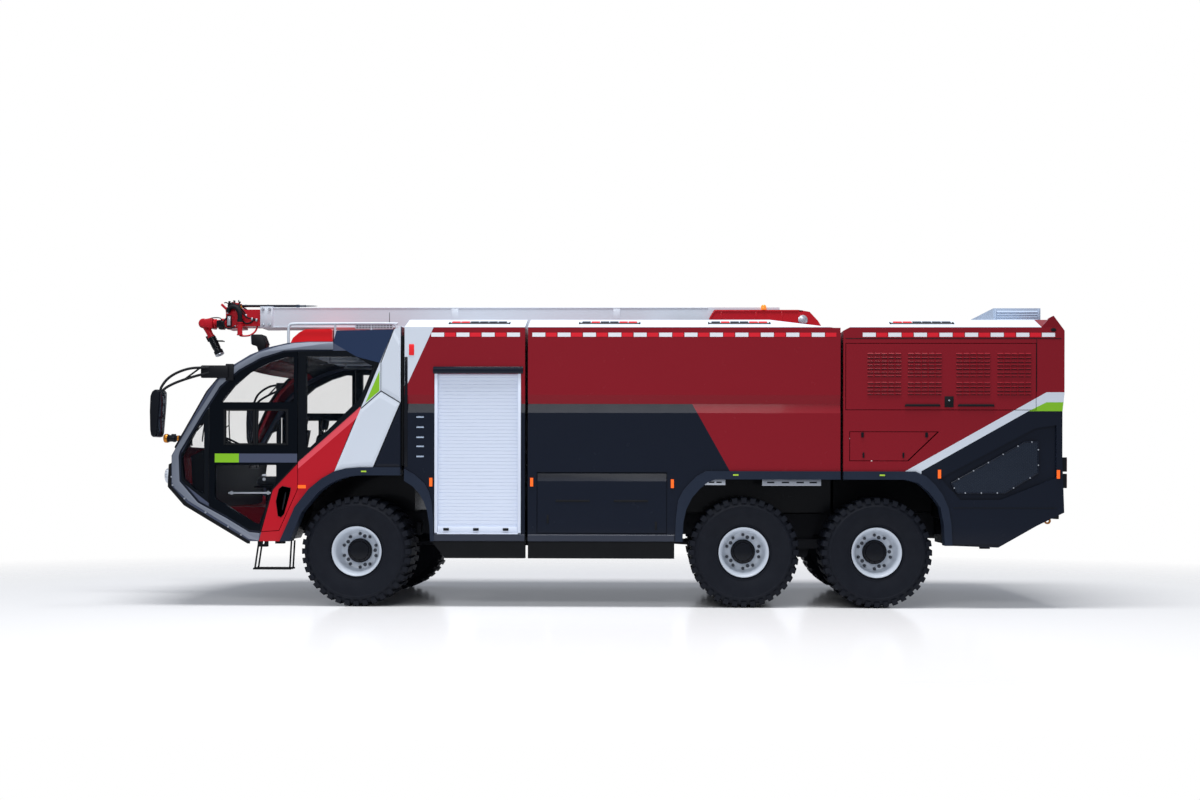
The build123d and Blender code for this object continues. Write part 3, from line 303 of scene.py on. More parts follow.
    def finish(self, name: str, finish: "Finish", body: str = "root", sides: Sides = Sides.MIDDLE,
               replaces: Sequence[str] = (), slot: str = "", smooth: float = 32.0) -> None:
        """Makes the piece's object and puts it on its body.

        Args:
            name: The piece's name; a pair gets _left and _right.
            finish: Its material and slot.
            body: The CAD body it rides on, with {side} for a pair.
            sides: Which sides it is on.
            replaces: CAD nodes that it stands for, with {side} for a pair.
            slot: The record's slot, where it isn't the finish's own; it is not used.
            smooth: Edges flatter than this many degrees are shaded smooth.
        """
        if sides is Sides.PAIR:
            for side, shape in (("left", self), ("right", self.mirrored())):
                shape.finish(f"{name}_{side}", finish, body.format(side=side), Sides.LEFT,
                             [r.format(side=side) for r in replaces], slot, smooth)
            return
        if sides is Sides.BOTH:
            self.take(self.mirrored())
        bmesh.ops.remove_doubles(self.bm, verts=self.bm.verts, dist=1e-6)
        for face in self.bm.faces:
            face.smooth = True
        for edge in self.bm.edges:
            edge.smooth = len(edge.link_faces) == 2 and edge.calc_face_angle(0) < math.radians(smooth)
        mesh = bpy.data.meshes.new(name)
        self.bm.to_mesh(mesh)
        self.bm.free()
        mesh.transform(Matrix.Translation((AXLE_X, 0, 0)))
        mesh.materials.append(finish.material)
        piece = bpy.data.objects.new(name, mesh)
        bpy.context.scene.collection.objects.link(piece)
        slot = slot or finish.slot
        if replaces:
            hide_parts(*replaces)
        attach(piece, body)
        LOG.info("%s: %d faces on %s", name, len(mesh.polygons), body)


class Pattern:
    """A Geometry Nodes tree that repeats the mesh it is put on."""

    def __init__(self, name: str) -> None:
        """Starts a tree with its material input."""
        self.tree = bpy.data.node_groups.new(name, "GeometryNodeTree")
        self.tree.interface.new_socket("Geometry", in_out="INPUT", socket_type="NodeSocketGeometry")
        self.tree.interface.new_socket("Geometry", in_out="OUTPUT", socket_type="NodeSocketGeometry")
        self.ids: dict[str, str] = {}
        self.source = self.tree.nodes.new("NodeGroupInput")
        self.unused = bpy.data.materials.new(f"{name}_material")

    def size(self, name: str, kind: str, default: float | int | tuple) -> None:
        """Adds a named input."""
        socket = self.tree.interface.new_socket(name, in_out="INPUT", socket_type=f"NodeSocket{kind}")
        socket.default_value = default
        self.ids[name] = socket.identifier

    def node(self, kind: str, **links) -> bpy.types.Node:
        """Adds a node; links give what goes into its inputs, by name with _ for a space."""
        made = self.tree.nodes.new(kind)
        for name, value in links.items():
            socket = made.inputs[name.replace("_", " ")]
            if isinstance(value, bpy.types.NodeSocket):
                self.tree.links.new(value, socket)
            else:
                socket.default_value = value
        return made

    def end(self, instances: bpy.types.NodeSocket, move: bpy.types.NodeSocket) -> None:
        """Realizes the instances, moves them and sets their material."""
        real = self.node("GeometryNodeRealizeInstances", Geometry=instances)
        placed = self.node("GeometryNodeTransform", Geometry=real.outputs[0], Translation=move)
        dressed = self.node("GeometryNodeSetMaterial", Geometry=placed.outputs[0], Material=self.unused)
        out = self.tree.nodes.new("NodeGroupOutput")
        self.tree.links.new(dressed.outputs[0], out.inputs[0])

    def apply(self, unit: Shape, sizes: dict) -> bpy.types.Mesh:
        """The unit repeated, as a plain mesh.

        Args:
            unit: The shape that is repeated.
            sizes: The tree's inputs by name, with _ for a space.

        Returns:
            The mesh of all copies.
        """
        mesh = bpy.data.meshes.new("unit")
        unit.bm.to_mesh(mesh)
        holder = bpy.data.objects.new("unit", mesh)
        bpy.context.scene.collection.objects.link(holder)
        modifier = holder.modifiers.new("pattern", "NODES")
        modifier.node_group = self.tree
        for name, value in sizes.items():
            modifier[self.ids[name.replace("_", " ")]] = value
        graph = bpy.context.evaluated_depsgraph_get()
        made = bpy.data.meshes.new_from_object(holder.evaluated_get(graph))
        holder.modifiers.remove(modifier)
        bpy.data.objects.remove(holder)
        bpy.data.meshes.remove(mesh)
        return made


class Grid(Pattern):
    """Copies in rows and columns."""

    def __init__(self) -> None:
        """Builds the tree."""
        super().__init__("grid_of_parts")
        self.size("Columns", "Int", 1)
        self.size("Rows", "Int", 1)
        self.size("Step", "Vector", (0.1, 0.0, 0.0))
        self.size("Rise", "Vector", (0.0, 0.0, 0.1))
        self.size("Start", "Vector", (0.0, 0.0, 0.0))
        given = self.source.outputs
        columns = self.node("GeometryNodeMeshLine", Count=given["Columns"], Offset=given["Step"])
        rows = self.node("GeometryNodeMeshLine", Count=given["Rows"], Offset=given["Rise"])
        spread = self.node("GeometryNodeInstanceOnPoints", Points=rows.outputs[0],
                           Instance=columns.outputs[0])
        spots = self.node("GeometryNodeRealizeInstances", Geometry=spread.outputs[0])
        copies = self.node("GeometryNodeInstanceOnPoints", Points=spots.outputs[0],
                           Instance=given["Geometry"])
        self.end(copies.outputs[0], given["Start"])


class Ring(Pattern):
    """Copies turned round the Y axis."""

    def __init__(self) -> None:
        """Builds the tree."""
        super().__init__("ring_of_parts")
        self.size("Count", "Int", 10)
        self.size("Turn", "Float", 0.0)
        self.size("Centre", "Vector", (0.0, 0.0, 0.0))
        given = self.source.outputs
        spots = self.node("GeometryNodeMeshLine", Count=given["Count"], Offset=(0.0, 0.0, 0.0))
        index = self.node("GeometryNodeInputIndex")
        share = self.node("ShaderNodeMath")
        share.operation = "DIVIDE"
        whole = self.node("ShaderNodeMath")
        whole.operation = "MULTIPLY_ADD"
        self.tree.links.new(index.outputs[0], share.inputs[0])
        self.tree.links.new(given["Count"], share.inputs[1])
        self.tree.links.new(share.outputs[0], whole.inputs[0])
        whole.inputs[1].default_value = 2 * math.pi
        self.tree.links.new(given["Turn"], whole.inputs[2])
        turn = self.node("ShaderNodeCombineXYZ", Y=whole.outputs[0])
        copies = self.node("GeometryNodeInstanceOnPoints", Points=spots.outputs[0],
                           Instance=given["Geometry"], Rotation=turn.outputs[0])
        self.end(copies.outputs[0], given["Centre"])


GRID = Grid()
RING = Ring()


# ---------------------------------------------------------------------------------------------- finishes
class Shader:
    """A material's node tree with short ways to add nodes."""

    def __init__(self, name: str) -> None:
        """Starts a material with its main shader and its coordinates."""
        self.material = bpy.data.materials.new(name)
        self.material.use_nodes = True
        self.tree = self.material.node_tree
        self.tree.nodes.clear()
        self.main = self.tree.nodes.new("ShaderNodeBsdfPrincipled")
        self.out = self.tree.nodes.new("ShaderNodeOutputMaterial")
        self.tree.links.new(self.main.outputs[0], self.out.inputs[0])
        self.place = self.tree.nodes.new("ShaderNodeTexCoord").outputs["Object"]
        self._parts: tuple | None = None

    def set(self, **values) -> "Shader":
        """Sets or links the main shader's inputs, by name with _ for a space."""
        for name, value in values.items():
            self._put(self.main.inputs[name.replace("_", " ")], value)
        return self

    def _put(self, socket: bpy.types.NodeSocket, value) -> None:
        """Links or sets one input."""
        if isinstance(value, bpy.types.NodeSocket):
            self.tree.links.new(value, socket)
        elif isinstance(value, tuple) and len(value) == 3 and socket.type == "RGBA":
            socket.default_value = (*value, 1.0)
        else:
            socket.default_value = value

    def math(self, operation: str, *values, clamp: bool = False) -> bpy.types.NodeSocket:
        """A number worked out from others."""
        made = self.tree.nodes.new("ShaderNodeMath")
        made.operation = operation
        made.use_clamp = clamp
        for socket, value in zip(made.inputs, values):
            self._put(socket, value)
        return made.outputs[0]

    def mix(self, share, first, second, blend: str = "MIX") -> bpy.types.NodeSocket:
        """Two colours mixed."""
        made = self.tree.nodes.new("ShaderNodeMix")
        made.data_type = "RGBA"
        made.blend_type = blend
        for index, value in ((0, share), (6, first), (7, second)):
            self._put(made.inputs[index], value)
        return made.outputs[2]

    def noise(self, scale: float, detail: float = 2.0, stretch: tuple = (1, 1, 1)) -> bpy.types.NodeSocket:
        """Smooth noise on the object's own coordinates."""
        vector = self.place
        if stretch != (1, 1, 1):
            mapping = self.tree.nodes.new("ShaderNodeMapping")
            mapping.inputs["Scale"].default_value = stretch
            self.tree.links.new(self.place, mapping.inputs["Vector"])
            vector = mapping.outputs[0]
        made = self.tree.nodes.new("ShaderNodeTexNoise")
        made.inputs["Scale"].default_value = scale
        made.inputs["Detail"].default_value = detail
        self.tree.links.new(vector, made.inputs["Vector"])
        return made.outputs["Fac"]

    def between(self, value, low: float, high: float) -> bpy.types.NodeSocket:
        """A number from 0 to 1 taken to between low and high."""
        made = self.tree.nodes.new("ShaderNodeMapRange")
        self._put(made.inputs["Value"], value)
        made.inputs["To Min"].default_value = low
        made.inputs["To Max"].default_value = high
        return made.outputs[0]

    def bump(self, height, distance: float, strength: float = 1.0, under=None) -> bpy.types.NodeSocket:
        """A bump from a height."""
        made = self.tree.nodes.new("ShaderNodeBump")
        made.inputs["Strength"].default_value = strength
        made.inputs["Distance"].default_value = distance
        self._put(made.inputs["Height"], height)
        if under is not None:
            self.tree.links.new(under, made.inputs["Normal"])
        return made.outputs[0]

    @property
    def parts(self) -> tuple:
        """The coordinates' X, Y and Z."""
        if self._parts is None:
            split = self.tree.nodes.new("ShaderNodeSeparateXYZ")
            self.tree.links.new(self.place, split.inputs[0])
            self._parts = tuple(split.outputs)
        return self._parts

    def inside(self, outline: Sequence[Point]) -> bpy.types.NodeSocket:
        """1 within a convex outline in X and Z, seen along Y.

        Args:
            outline: Corners in order, in metres behind the front axle and above the ground.

        Returns:
            The mask.
        """
        x, _, z = self.parts
        count = len(outline)
        area = sum(outline[i][0] * outline[(i + 1) % count][1] - outline[(i + 1) % count][0] * outline[i][1]
                   for i in range(count))
        sign = 1 if area > 0 else -1
        least = None
        for i, (ax, az) in enumerate(outline):
            bx, bz = outline[(i + 1) % count]
            long = math.hypot(bx - ax, bz - az)
            nx, nz = -(bz - az) / long * sign, (bx - ax) / long * sign
            part = self.math("MULTIPLY_ADD", x, nx, -nx * (ax + AXLE_X) - nz * az)
            depth = self.math("MULTIPLY_ADD", z, nz, part)
            least = depth if least is None else self.math("MINIMUM", least, depth)
        return self.math("GREATER_THAN", least, 0.0)


class Finish(NamedTuple):
    """A material and the record's slot that it stands for."""

    material: bpy.types.Material
    slot: str


class Look:
    """What every look can do."""

    def make(self) -> bpy.types.Material:
        """Builds the material."""
        raise NotImplementedError

    def finish(self, slot: str) -> Finish:
        """The look made into a finish for one of the record's slots."""
        return Finish(self.make(), slot)


@dataclass(frozen=True)
class Zone:
    """A flat-coloured area of the livery, in millimetres, on the sides unless all_round is set."""

    colour: Colour
    outline: Outline
    all_round: bool = False


RED, DEEP_RED, BRIGHT_RED = srgb("871925"), srgb("7c1420"), srgb("b91c29")
WHITE, GREEN, GRAPHITE = srgb("d3dbe6"), srgb("86c12e"), srgb("131926")
SLATE, BLACK = srgb("4b5266"), srgb("040911")
SKIN = 0.075


@dataclass(frozen=True)
class Paint(Look):
    """Sprayed paint under clear coat, with fine orange peel, faint panel waves and painted shade inside the
    body.
    """

    name: str
    base: Colour
    zones: tuple[Zone, ...] = ()
    roughness: float = 0.24
    metallic: float = 0.0
    coat: float = 0.1
    waves: float = 0.004
    gloss: float = 0.12
    # Painted shade: a dark colour for faces inside the body's outline, between these stations and below this
    # top.
    inner_shade: Colour | None = None
    inner_shade_x: Span = (-1.33, 8.55)
    inner_shade_top: float = 3.30

    def make(self) -> bpy.types.Material:
        """Builds the material."""
        s = Shader(self.name)
        colour = s.mix(s.between(s.noise(0.9, 3.0), 0.0, 0.10), self.base, tuple(c * 0.55 for c in self.base))
        if self.zones:
            side = s.math("GREATER_THAN", s.math("ABSOLUTE", s.parts[1]), HALF - SKIN)
        for zone in self.zones:
            mask = s.inside(metres(zone.outline))
            if not zone.all_round:
                mask = s.math("MULTIPLY", mask, side)
            colour = s.mix(mask, colour, zone.colour)
        # Painted shade: faces inside the body's outline, such as module ends in the gaps and recess walls,
        # are coloured dark.
        if self.inner_shade is not None:
            x, y, z = s.parts
            within = s.math("LESS_THAN", s.math("ABSOLUTE", y), HALF - 0.07)
            for value, limit in ((z, self.inner_shade_top), (x, self.inner_shade_x[1] + AXLE_X)):
                within = s.math("MULTIPLY", within, s.math("LESS_THAN", value, limit))
            within = s.math("MULTIPLY", within, s.math("GREATER_THAN", x, self.inner_shade_x[0] + AXLE_X))
            colour = s.mix(within, colour, self.inner_shade)
        dust = s.math("MULTIPLY", s.noise(2.3, 6.0),
                      s.between(s.math("SUBTRACT", 1.0, s.parts[2], clamp=True), 0, 0.35))
        colour = s.mix(dust, colour, srgb("6d675f"))
        peel = s.bump(s.noise(260.0, 1.0), 0.0004, 0.25)
        waves = s.bump(s.noise(1.7, 1.0, (1.0, 1.0, 1.6)), self.waves, 0.5, peel)
        s.set(Base_Color=colour, Roughness=s.between(s.noise(7.0, 4.0), self.roughness - 0.05,
                                                     self.roughness + 0.07),
              Metallic=self.metallic, Normal=waves, Specular_IOR_Level=self.gloss, Coat_Weight=self.coat,
              Coat_Roughness=0.05)
        return s.material


@dataclass(frozen=True)
class Plastic(Look):
    """Moulded or textured plastic, and powder-coated metal."""

    name: str
    base: Colour
    roughness: float = 0.5
    grain: float = 0.0005
    scale: float = 420.0

    def make(self) -> bpy.types.Material:
        """Builds the material."""
        s = Shader(self.name)
        colour = s.mix(s.between(s.noise(5.0, 5.0), 0.0, 0.5), self.base,
                       tuple(min(1.0, c * 1.6 + 0.004) for c in self.base))
        s.set(Base_Color=colour, Roughness=s.between(s.noise(30.0, 4.0), self.roughness - 0.08,
                                                     self.roughness + 0.1),
              Normal=s.bump(s.noise(self.scale, 2.0), self.grain, 0.4), Specular_IOR_Level=0.16)
        return s.material


@dataclass(frozen=True)
class Metal(Look):
    """Bare or plated metal with a brushed grain."""

    name: str
    base: Colour
    roughness: float = 0.3
    stretch: tuple = (1.0, 1.0, 40.0)

    def make(self) -> bpy.types.Material:
        """Builds the material."""
        s = Shader(self.name)
        grain = s.noise(40.0, 3.0, self.stretch)
        s.set(Base_Color=s.mix(s.between(s.noise(6.0, 4.0), 0.0, 0.35), self.base,
                               tuple(c * 0.6 for c in self.base)),
              Metallic=0.9, Roughness=s.between(grain, self.roughness - 0.08, self.roughness + 0.12),
              Normal=s.bump(grain, 0.0003, 0.3))
        return s.material


@dataclass(frozen=True)
class Rubber(Look):
    """Tyre rubber, a little dusty."""

    name: str
    base: Colour

    def make(self) -> bpy.types.Material:
        """Builds the material."""
        s = Shader(self.name)
        colour = s.mix(s.between(s.noise(9.0, 6.0), 0.0, 0.35), self.base, srgb("22262e"))
        s.set(Base_Color=colour, Specular_IOR_Level=0.14, Roughness=s.between(s.noise(14.0, 4.0), 0.5, 0.72),
              Normal=s.bump(s.noise(180.0, 3.0), 0.0008, 0.35))
        return s.material


@dataclass(frozen=True)
class Glass(Look):
    """Tinted sheet glass that shows what is behind it."""

    name: str
    tint: Colour
    cover: float = 0.3

    def make(self) -> bpy.types.Material:
        """Builds the material."""
        s = Shader(self.name)
        s.set(Base_Color=self.tint, Roughness=0.04, Alpha=s.between(s.noise(1.3, 2.0), self.cover - 0.03,
                                                                    self.cover + 0.03),
              Specular_IOR_Level=0.2)
        return s.material


@dataclass(frozen=True)
class Lens(Look):
    """A moulded lamp lens with ribs. It can be dark above a height and red at the rear, for other lamps."""

    name: str
    base: Colour
    glow: float = 0.0
    dark_above: float | None = None
    rear: Colour | None = None
    rear_x: float = 8.59
    coat: float = 0.5

    def make(self) -> bpy.types.Material:
        """Builds the material."""
        s = Shader(self.name)
        wave = s.tree.nodes.new("ShaderNodeTexWave")
        wave.inputs["Scale"].default_value = 60.0
        s.tree.links.new(s.place, wave.inputs["Vector"])
        colour = s.mix(s.between(wave.outputs["Fac"], 0.0, 0.3), self.base, tuple(c * 0.5 for c in self.base))
        if self.rear is not None:
            colour = s.mix(s.math("GREATER_THAN", s.parts[0], self.rear_x + AXLE_X), colour, self.rear)
        if self.dark_above is not None:
            colour = s.mix(s.math("GREATER_THAN", s.parts[2], self.dark_above), colour, BLACK)
        s.set(Base_Color=colour, Roughness=0.16, Specular_IOR_Level=0.25,
              Normal=s.bump(wave.outputs["Fac"], 0.001, 0.3), Coat_Weight=self.coat)
        if self.glow:
            s.set(Emission_Color=colour, Emission_Strength=self.glow)
        return s.material


@dataclass(frozen=True)
class Cloth(Look):
    """Woven seat cloth."""

    name: str
    base: Colour

    def make(self) -> bpy.types.Material:
        """Builds the material."""
        s = Shader(self.name)
        waves = []
        for direction in ("X", "Z"):
            wave = s.tree.nodes.new("ShaderNodeTexWave")
            wave.bands_direction = direction
            wave.inputs["Scale"].default_value = 160.0
            s.tree.links.new(s.place, wave.inputs["Vector"])
            waves.append(wave.outputs["Fac"])
        weave = s.math("MULTIPLY", *waves)
        colour = s.mix(weave, tuple(c * 0.6 for c in self.base), self.base)
        s.set(Base_Color=s.mix(s.between(s.noise(11.0, 4.0), 0, 0.3), colour,
                               tuple(c * 0.5 for c in self.base)),
              Roughness=0.85, Normal=s.bump(weave, 0.001, 0.5), Sheen_Weight=0.2)
        return s.material


class Palette:
    """Every finish of the vehicle, built once."""

    def __init__(self) -> None:
        """Builds the finishes."""
        nose = Zone(SLATE, ((-2400, 700), (700, 700), (700, 3700), (-2400, 3700)))
        livery = (
            nose,
            Zone(BLACK, ((-2173, 1835), (-1875, 2369), (-1168, 3040), (-700, 3139), (600, 3139), (600, 910),
                         (-1168, 910), (-1590, 1093), (-2160, 1537))),
            Zone(BRIGHT_RED, ((-1192, 800), (-1020, 1431), (-711, 1779), (-266, 1657), (-933, 800))),
            Zone(BRIGHT_RED, ((-711, 1779), (56, 2461), (-266, 1657))),
            # A lighter pink band along the crease: a painted highlight on the bevel.
            Zone(srgb("e2525e"), ((-711, 1779), (56, 2461), (56, 2352), (-711, 1690))),
            Zone(WHITE, ((463, 3399), (549, 3500), (549, 2499), (204, 1708), (-266, 1657), (56, 2424))),
            Zone(WHITE, ((463, 3399), (549, 2499), (56, 2424), (117, 2498), (290, 2646), (290, 2992))),
            Zone(GREEN, ((117, 2498), (290, 2646), (290, 2893))),
            Zone(GRAPHITE, ((549, 2499), (549, 1710), (204, 1708))),
            Zone(srgb("263552"), ((-278, 3139), (-278, 3700), (440, 3700), (463, 3399), (290, 2992),
                                  (210, 2945), (6, 3065))),
        )
        # Each module's last, dark colour is painted shade for its faces inside the body, in gaps and
        # recesses.
        self.cab = Paint("cab_paint", DEEP_RED, livery, inner_shade=srgb("101217")).finish("black_paint")
        self.frame = Paint("cab_frame_paint", srgb("7d8492"), (), 0.32, 0.35, 0.2,
                           gloss=0.3).finish("grey_paint")
        self.door = Paint("door_paint", BLACK, (
            Zone(SLATE, ((-1441, 1766), (-723, 1766), (-723, 1875), (-1441, 1875))),
            Zone(GREEN, ((-1738, 1766), (-1441, 1766), (-1441, 1875), (-1738, 1875))),
            Zone(BRIGHT_RED, ((-1020, 1431), (-600, 1876), (-600, 1300), (-942, 900), (-1192, 800))),
        ), 0.12, 0.0, 0.04, gloss=0.08).finish("black_paint")
        roof = Zone(WHITE, ((500, 3425), (9000, 3425), (9000, 3900), (500, 3900)), True)
        fin = Zone(DEEP_RED, ((8360, 3425), (8360, 3600), (8700, 3600), (8700, 3425)), True)
        dark_low = Zone(GRAPHITE, ((500, 600), (2100, 600), (2100, 2490), (500, 2490)))
        self.locker = Paint("locker_paint", RED, (
            Zone(WHITE, ((500, 3430), (956, 3430), (635, 2733), (500, 2650))), dark_low, roof),
                            inner_shade=srgb("2b2e35")).finish("red_paint")
        self.tank = Paint("tank_paint", RED, (
            Zone(GRAPHITE, ((2000, 2490), (4121, 2490), (4585, 1665), (4585, 600), (2000, 600))), roof),
            inner_shade=srgb("121419")).finish("red_paint")
        self.engine = Paint("engine_module_paint", RED, (
            Zone(WHITE, ((6715, 1675), (8423, 2637), (9000, 2637), (9000, 600), (6715, 600)), True),
            Zone(GRAPHITE, ((6909, 1675), (8205, 2407), (9000, 2407), (9000, 600), (6909, 600)), True),
            Zone(GREEN, ((8205, 2407), (8423, 2516), (9000, 2516), (9000, 2407)), True), roof, fin),
            inner_shade=srgb("14161c")).finish("red_paint")
        self.white = Paint("white_paint", WHITE, (), 0.3).finish("white_paint")
        self.pale = Paint("light_panel_paint", srgb("b4c3d8"), (), 0.34).finish("trim_grey")
        self.red = Paint("boom_red_paint", BRIGHT_RED).finish("red_paint")
        self.sill = Paint("sill_paint", srgb("2a303e"), (), 0.3, gloss=0.3).finish("graphite_paint")
        self.graphite = Paint("graphite_paint", GRAPHITE).finish("graphite_paint")
        self.chassis = Plastic("chassis_coating", srgb("17191f"), 0.55).finish("chassis_black")
        self.trim = Plastic("arch_trim_plastic", srgb("1c2433"), 0.36, 0.0006).finish("trim_grey")
        self.skirt = Plastic("skirt_plastic", srgb("06080c"), 0.6).finish("black_plastic")
        self.liner = Plastic("liner_plastic", srgb("0a0c10"), 0.7).finish("black_plastic")
        self.black = Plastic("black_plastic", srgb("0c0e13"), 0.42).finish("black_plastic")
        self.gloss = Plastic("gloss_black", srgb("0d1017"), 0.16, 0.0001).finish("black_plastic")
        self.gasket = Plastic("gasket_rubber", srgb("101216"), 0.75).finish("black_plastic")
        self.iron = Metal("engine_iron", srgb("4c5058"), 0.5, (1.0, 1.0, 1.0)).finish("engine_iron")
        self.steel = Metal("stainless_steel", srgb("c4c9d2"), 0.28).finish("steel")
        self.chrome = Metal("hard_chrome", srgb("e0e3e8"), 0.12, (40.0, 1.0, 1.0)).finish("steel")
        self.gold = Metal("anodised_fittings", srgb("c07a2c"), 0.3).finish("steel")
        self.shutter = Paint("shutter_finish", srgb("d9e2f3"), (), 0.38,
                             gloss=0.3).finish("shutter_aluminium")
        self.rim = Paint("wheel_paint", srgb("c3ccd8"), (), 0.3, gloss=0.3).finish("rim_paint")
        self.tyre = Rubber("tyre_rubber", srgb("090d17")).finish("tyre_rubber")
        self.hose = Rubber("hose_rubber", srgb("0f1218")).finish("tyre_rubber")
        self.glass = Glass("tinted_glass", srgb("1a2430"), 0.08).finish("tinted_glass")
        self.clear = Lens("clear_lens", srgb("dfe7f2"), dark_above=3.0).finish("lamp_clear")
        self.amber = Lens("amber_lens", srgb("ff6a1c"), 0.4, dark_above=3.3,
                          rear=srgb("c8141c")).finish("lamp_amber")
        self.amber_dome = Lens("amber_dome", srgb("ff8a2c"), 0.5).finish("lamp_amber")
        self.marker = Lens("side_marker_lens", srgb("a9cc35"), 0.15).finish("lamp_amber")
        self.clear_high = Lens("work_lamp_lens", srgb("dfe7f2")).finish("lamp_clear")
        self.red_panel = Paint("rear_panel_paint", RED).finish("red_paint")
        self.lamp_red = Lens("red_lens", srgb("e01d24"), 0.25).finish("lamp_red")
        self.blue = Lens("unlit_light_lens", srgb("141c2e")).finish("lamp_red")
        self.beacon = Lens("beacon_lens", srgb("d8121c"), 0.3, coat=0.15).finish("lamp_red")
        self.tape_white = Plastic("tape_white", srgb("e4e9f1"), 0.35).finish("white_paint")
        self.tape_red = Plastic("tape_red", srgb("d0202e"), 0.35).finish("red_paint")
        self.cloth = Cloth("seat_cloth", srgb("2a2f3a")).finish("seat_fabric")
        self.mirror = Metal("mirror_glass", srgb("59626f"), 0.06).finish("steel")
        self.mesh = Metal("grille_steel", srgb("3a4250"), 0.4, (1.0, 1.0, 1.0)).finish("steel")

    def dress(self) -> None:
        """Gives each carried-over CAD node its finish."""
        table = {
            self.cab: ("cab_shell",),
            self.door: ("cab_door_left", "cab_door_right"),
            self.glass: ("cab_glazing", "door_glass_left", "door_glass_right"),
            self.locker: ("locker_module",),
            self.engine: ("engine_module", "engine_door_left", "engine_door_right", "side_hatch_left",
                          "side_hatch_right"),
            self.tank: ("tank_module", "locker_flap_left", "locker_flap_right"),
            self.white: ("boom_outer", "roof_rails"),
            self.pale: ("exhaust_housing",),
            self.red: ("boom_turret", "boom_inner", "monitor_elbow"),
            self.black: ("dashboard", "mirrors", "bumper_guard", "bumper_bracket", "entry_steps"),
            self.chassis: ("chassis_frame", "axle_beams", "knuckle_left", "knuckle_right", "tie_rod",
                           "leaf_springs"),
            self.gloss: ("steering_wheel",),
            self.iron: ("engine_block",),
            self.trim: ("arch_trims",),
            self.skirt: ("side_skirts",),
            self.shutter: ("roller_shutters",),
            self.mesh: ("intake_grilles",),
            self.clear: ("head_lamps",),
            self.amber: ("marker_lamps",),
            self.beacon: ("roof_beacon",),
            self.cloth: ("seats",),
            self.tyre: tuple(n for n in frame["nodes"] if n.startswith("tyre_")),
            self.rim: tuple(n for n in frame["nodes"] if n.startswith("rim_")),
            self.chrome: ("lift_rods",),
            self.graphite: ("lift_barrels", "piercing_lance"),
            self.hose: ("monitor_nozzle", "bumper_column", "bumper_nozzle"),
        }
        for finish, nodes in table.items():
            for node in nodes:
                for slot in frame["nodes"][node].material_slots:
                    slot.material = finish.material
        missing = set(frame["nodes"]) - {n for nodes in table.values() for n in nodes}
        LOG.info("nodes without a finish of their own: %s", sorted(missing) or "none")


@dataclass
class Part:
    """A group of pieces in the palette's finishes."""

    palette: Palette

    def build(self) -> None:
        """Builds the group's pieces."""
        raise NotImplementedError


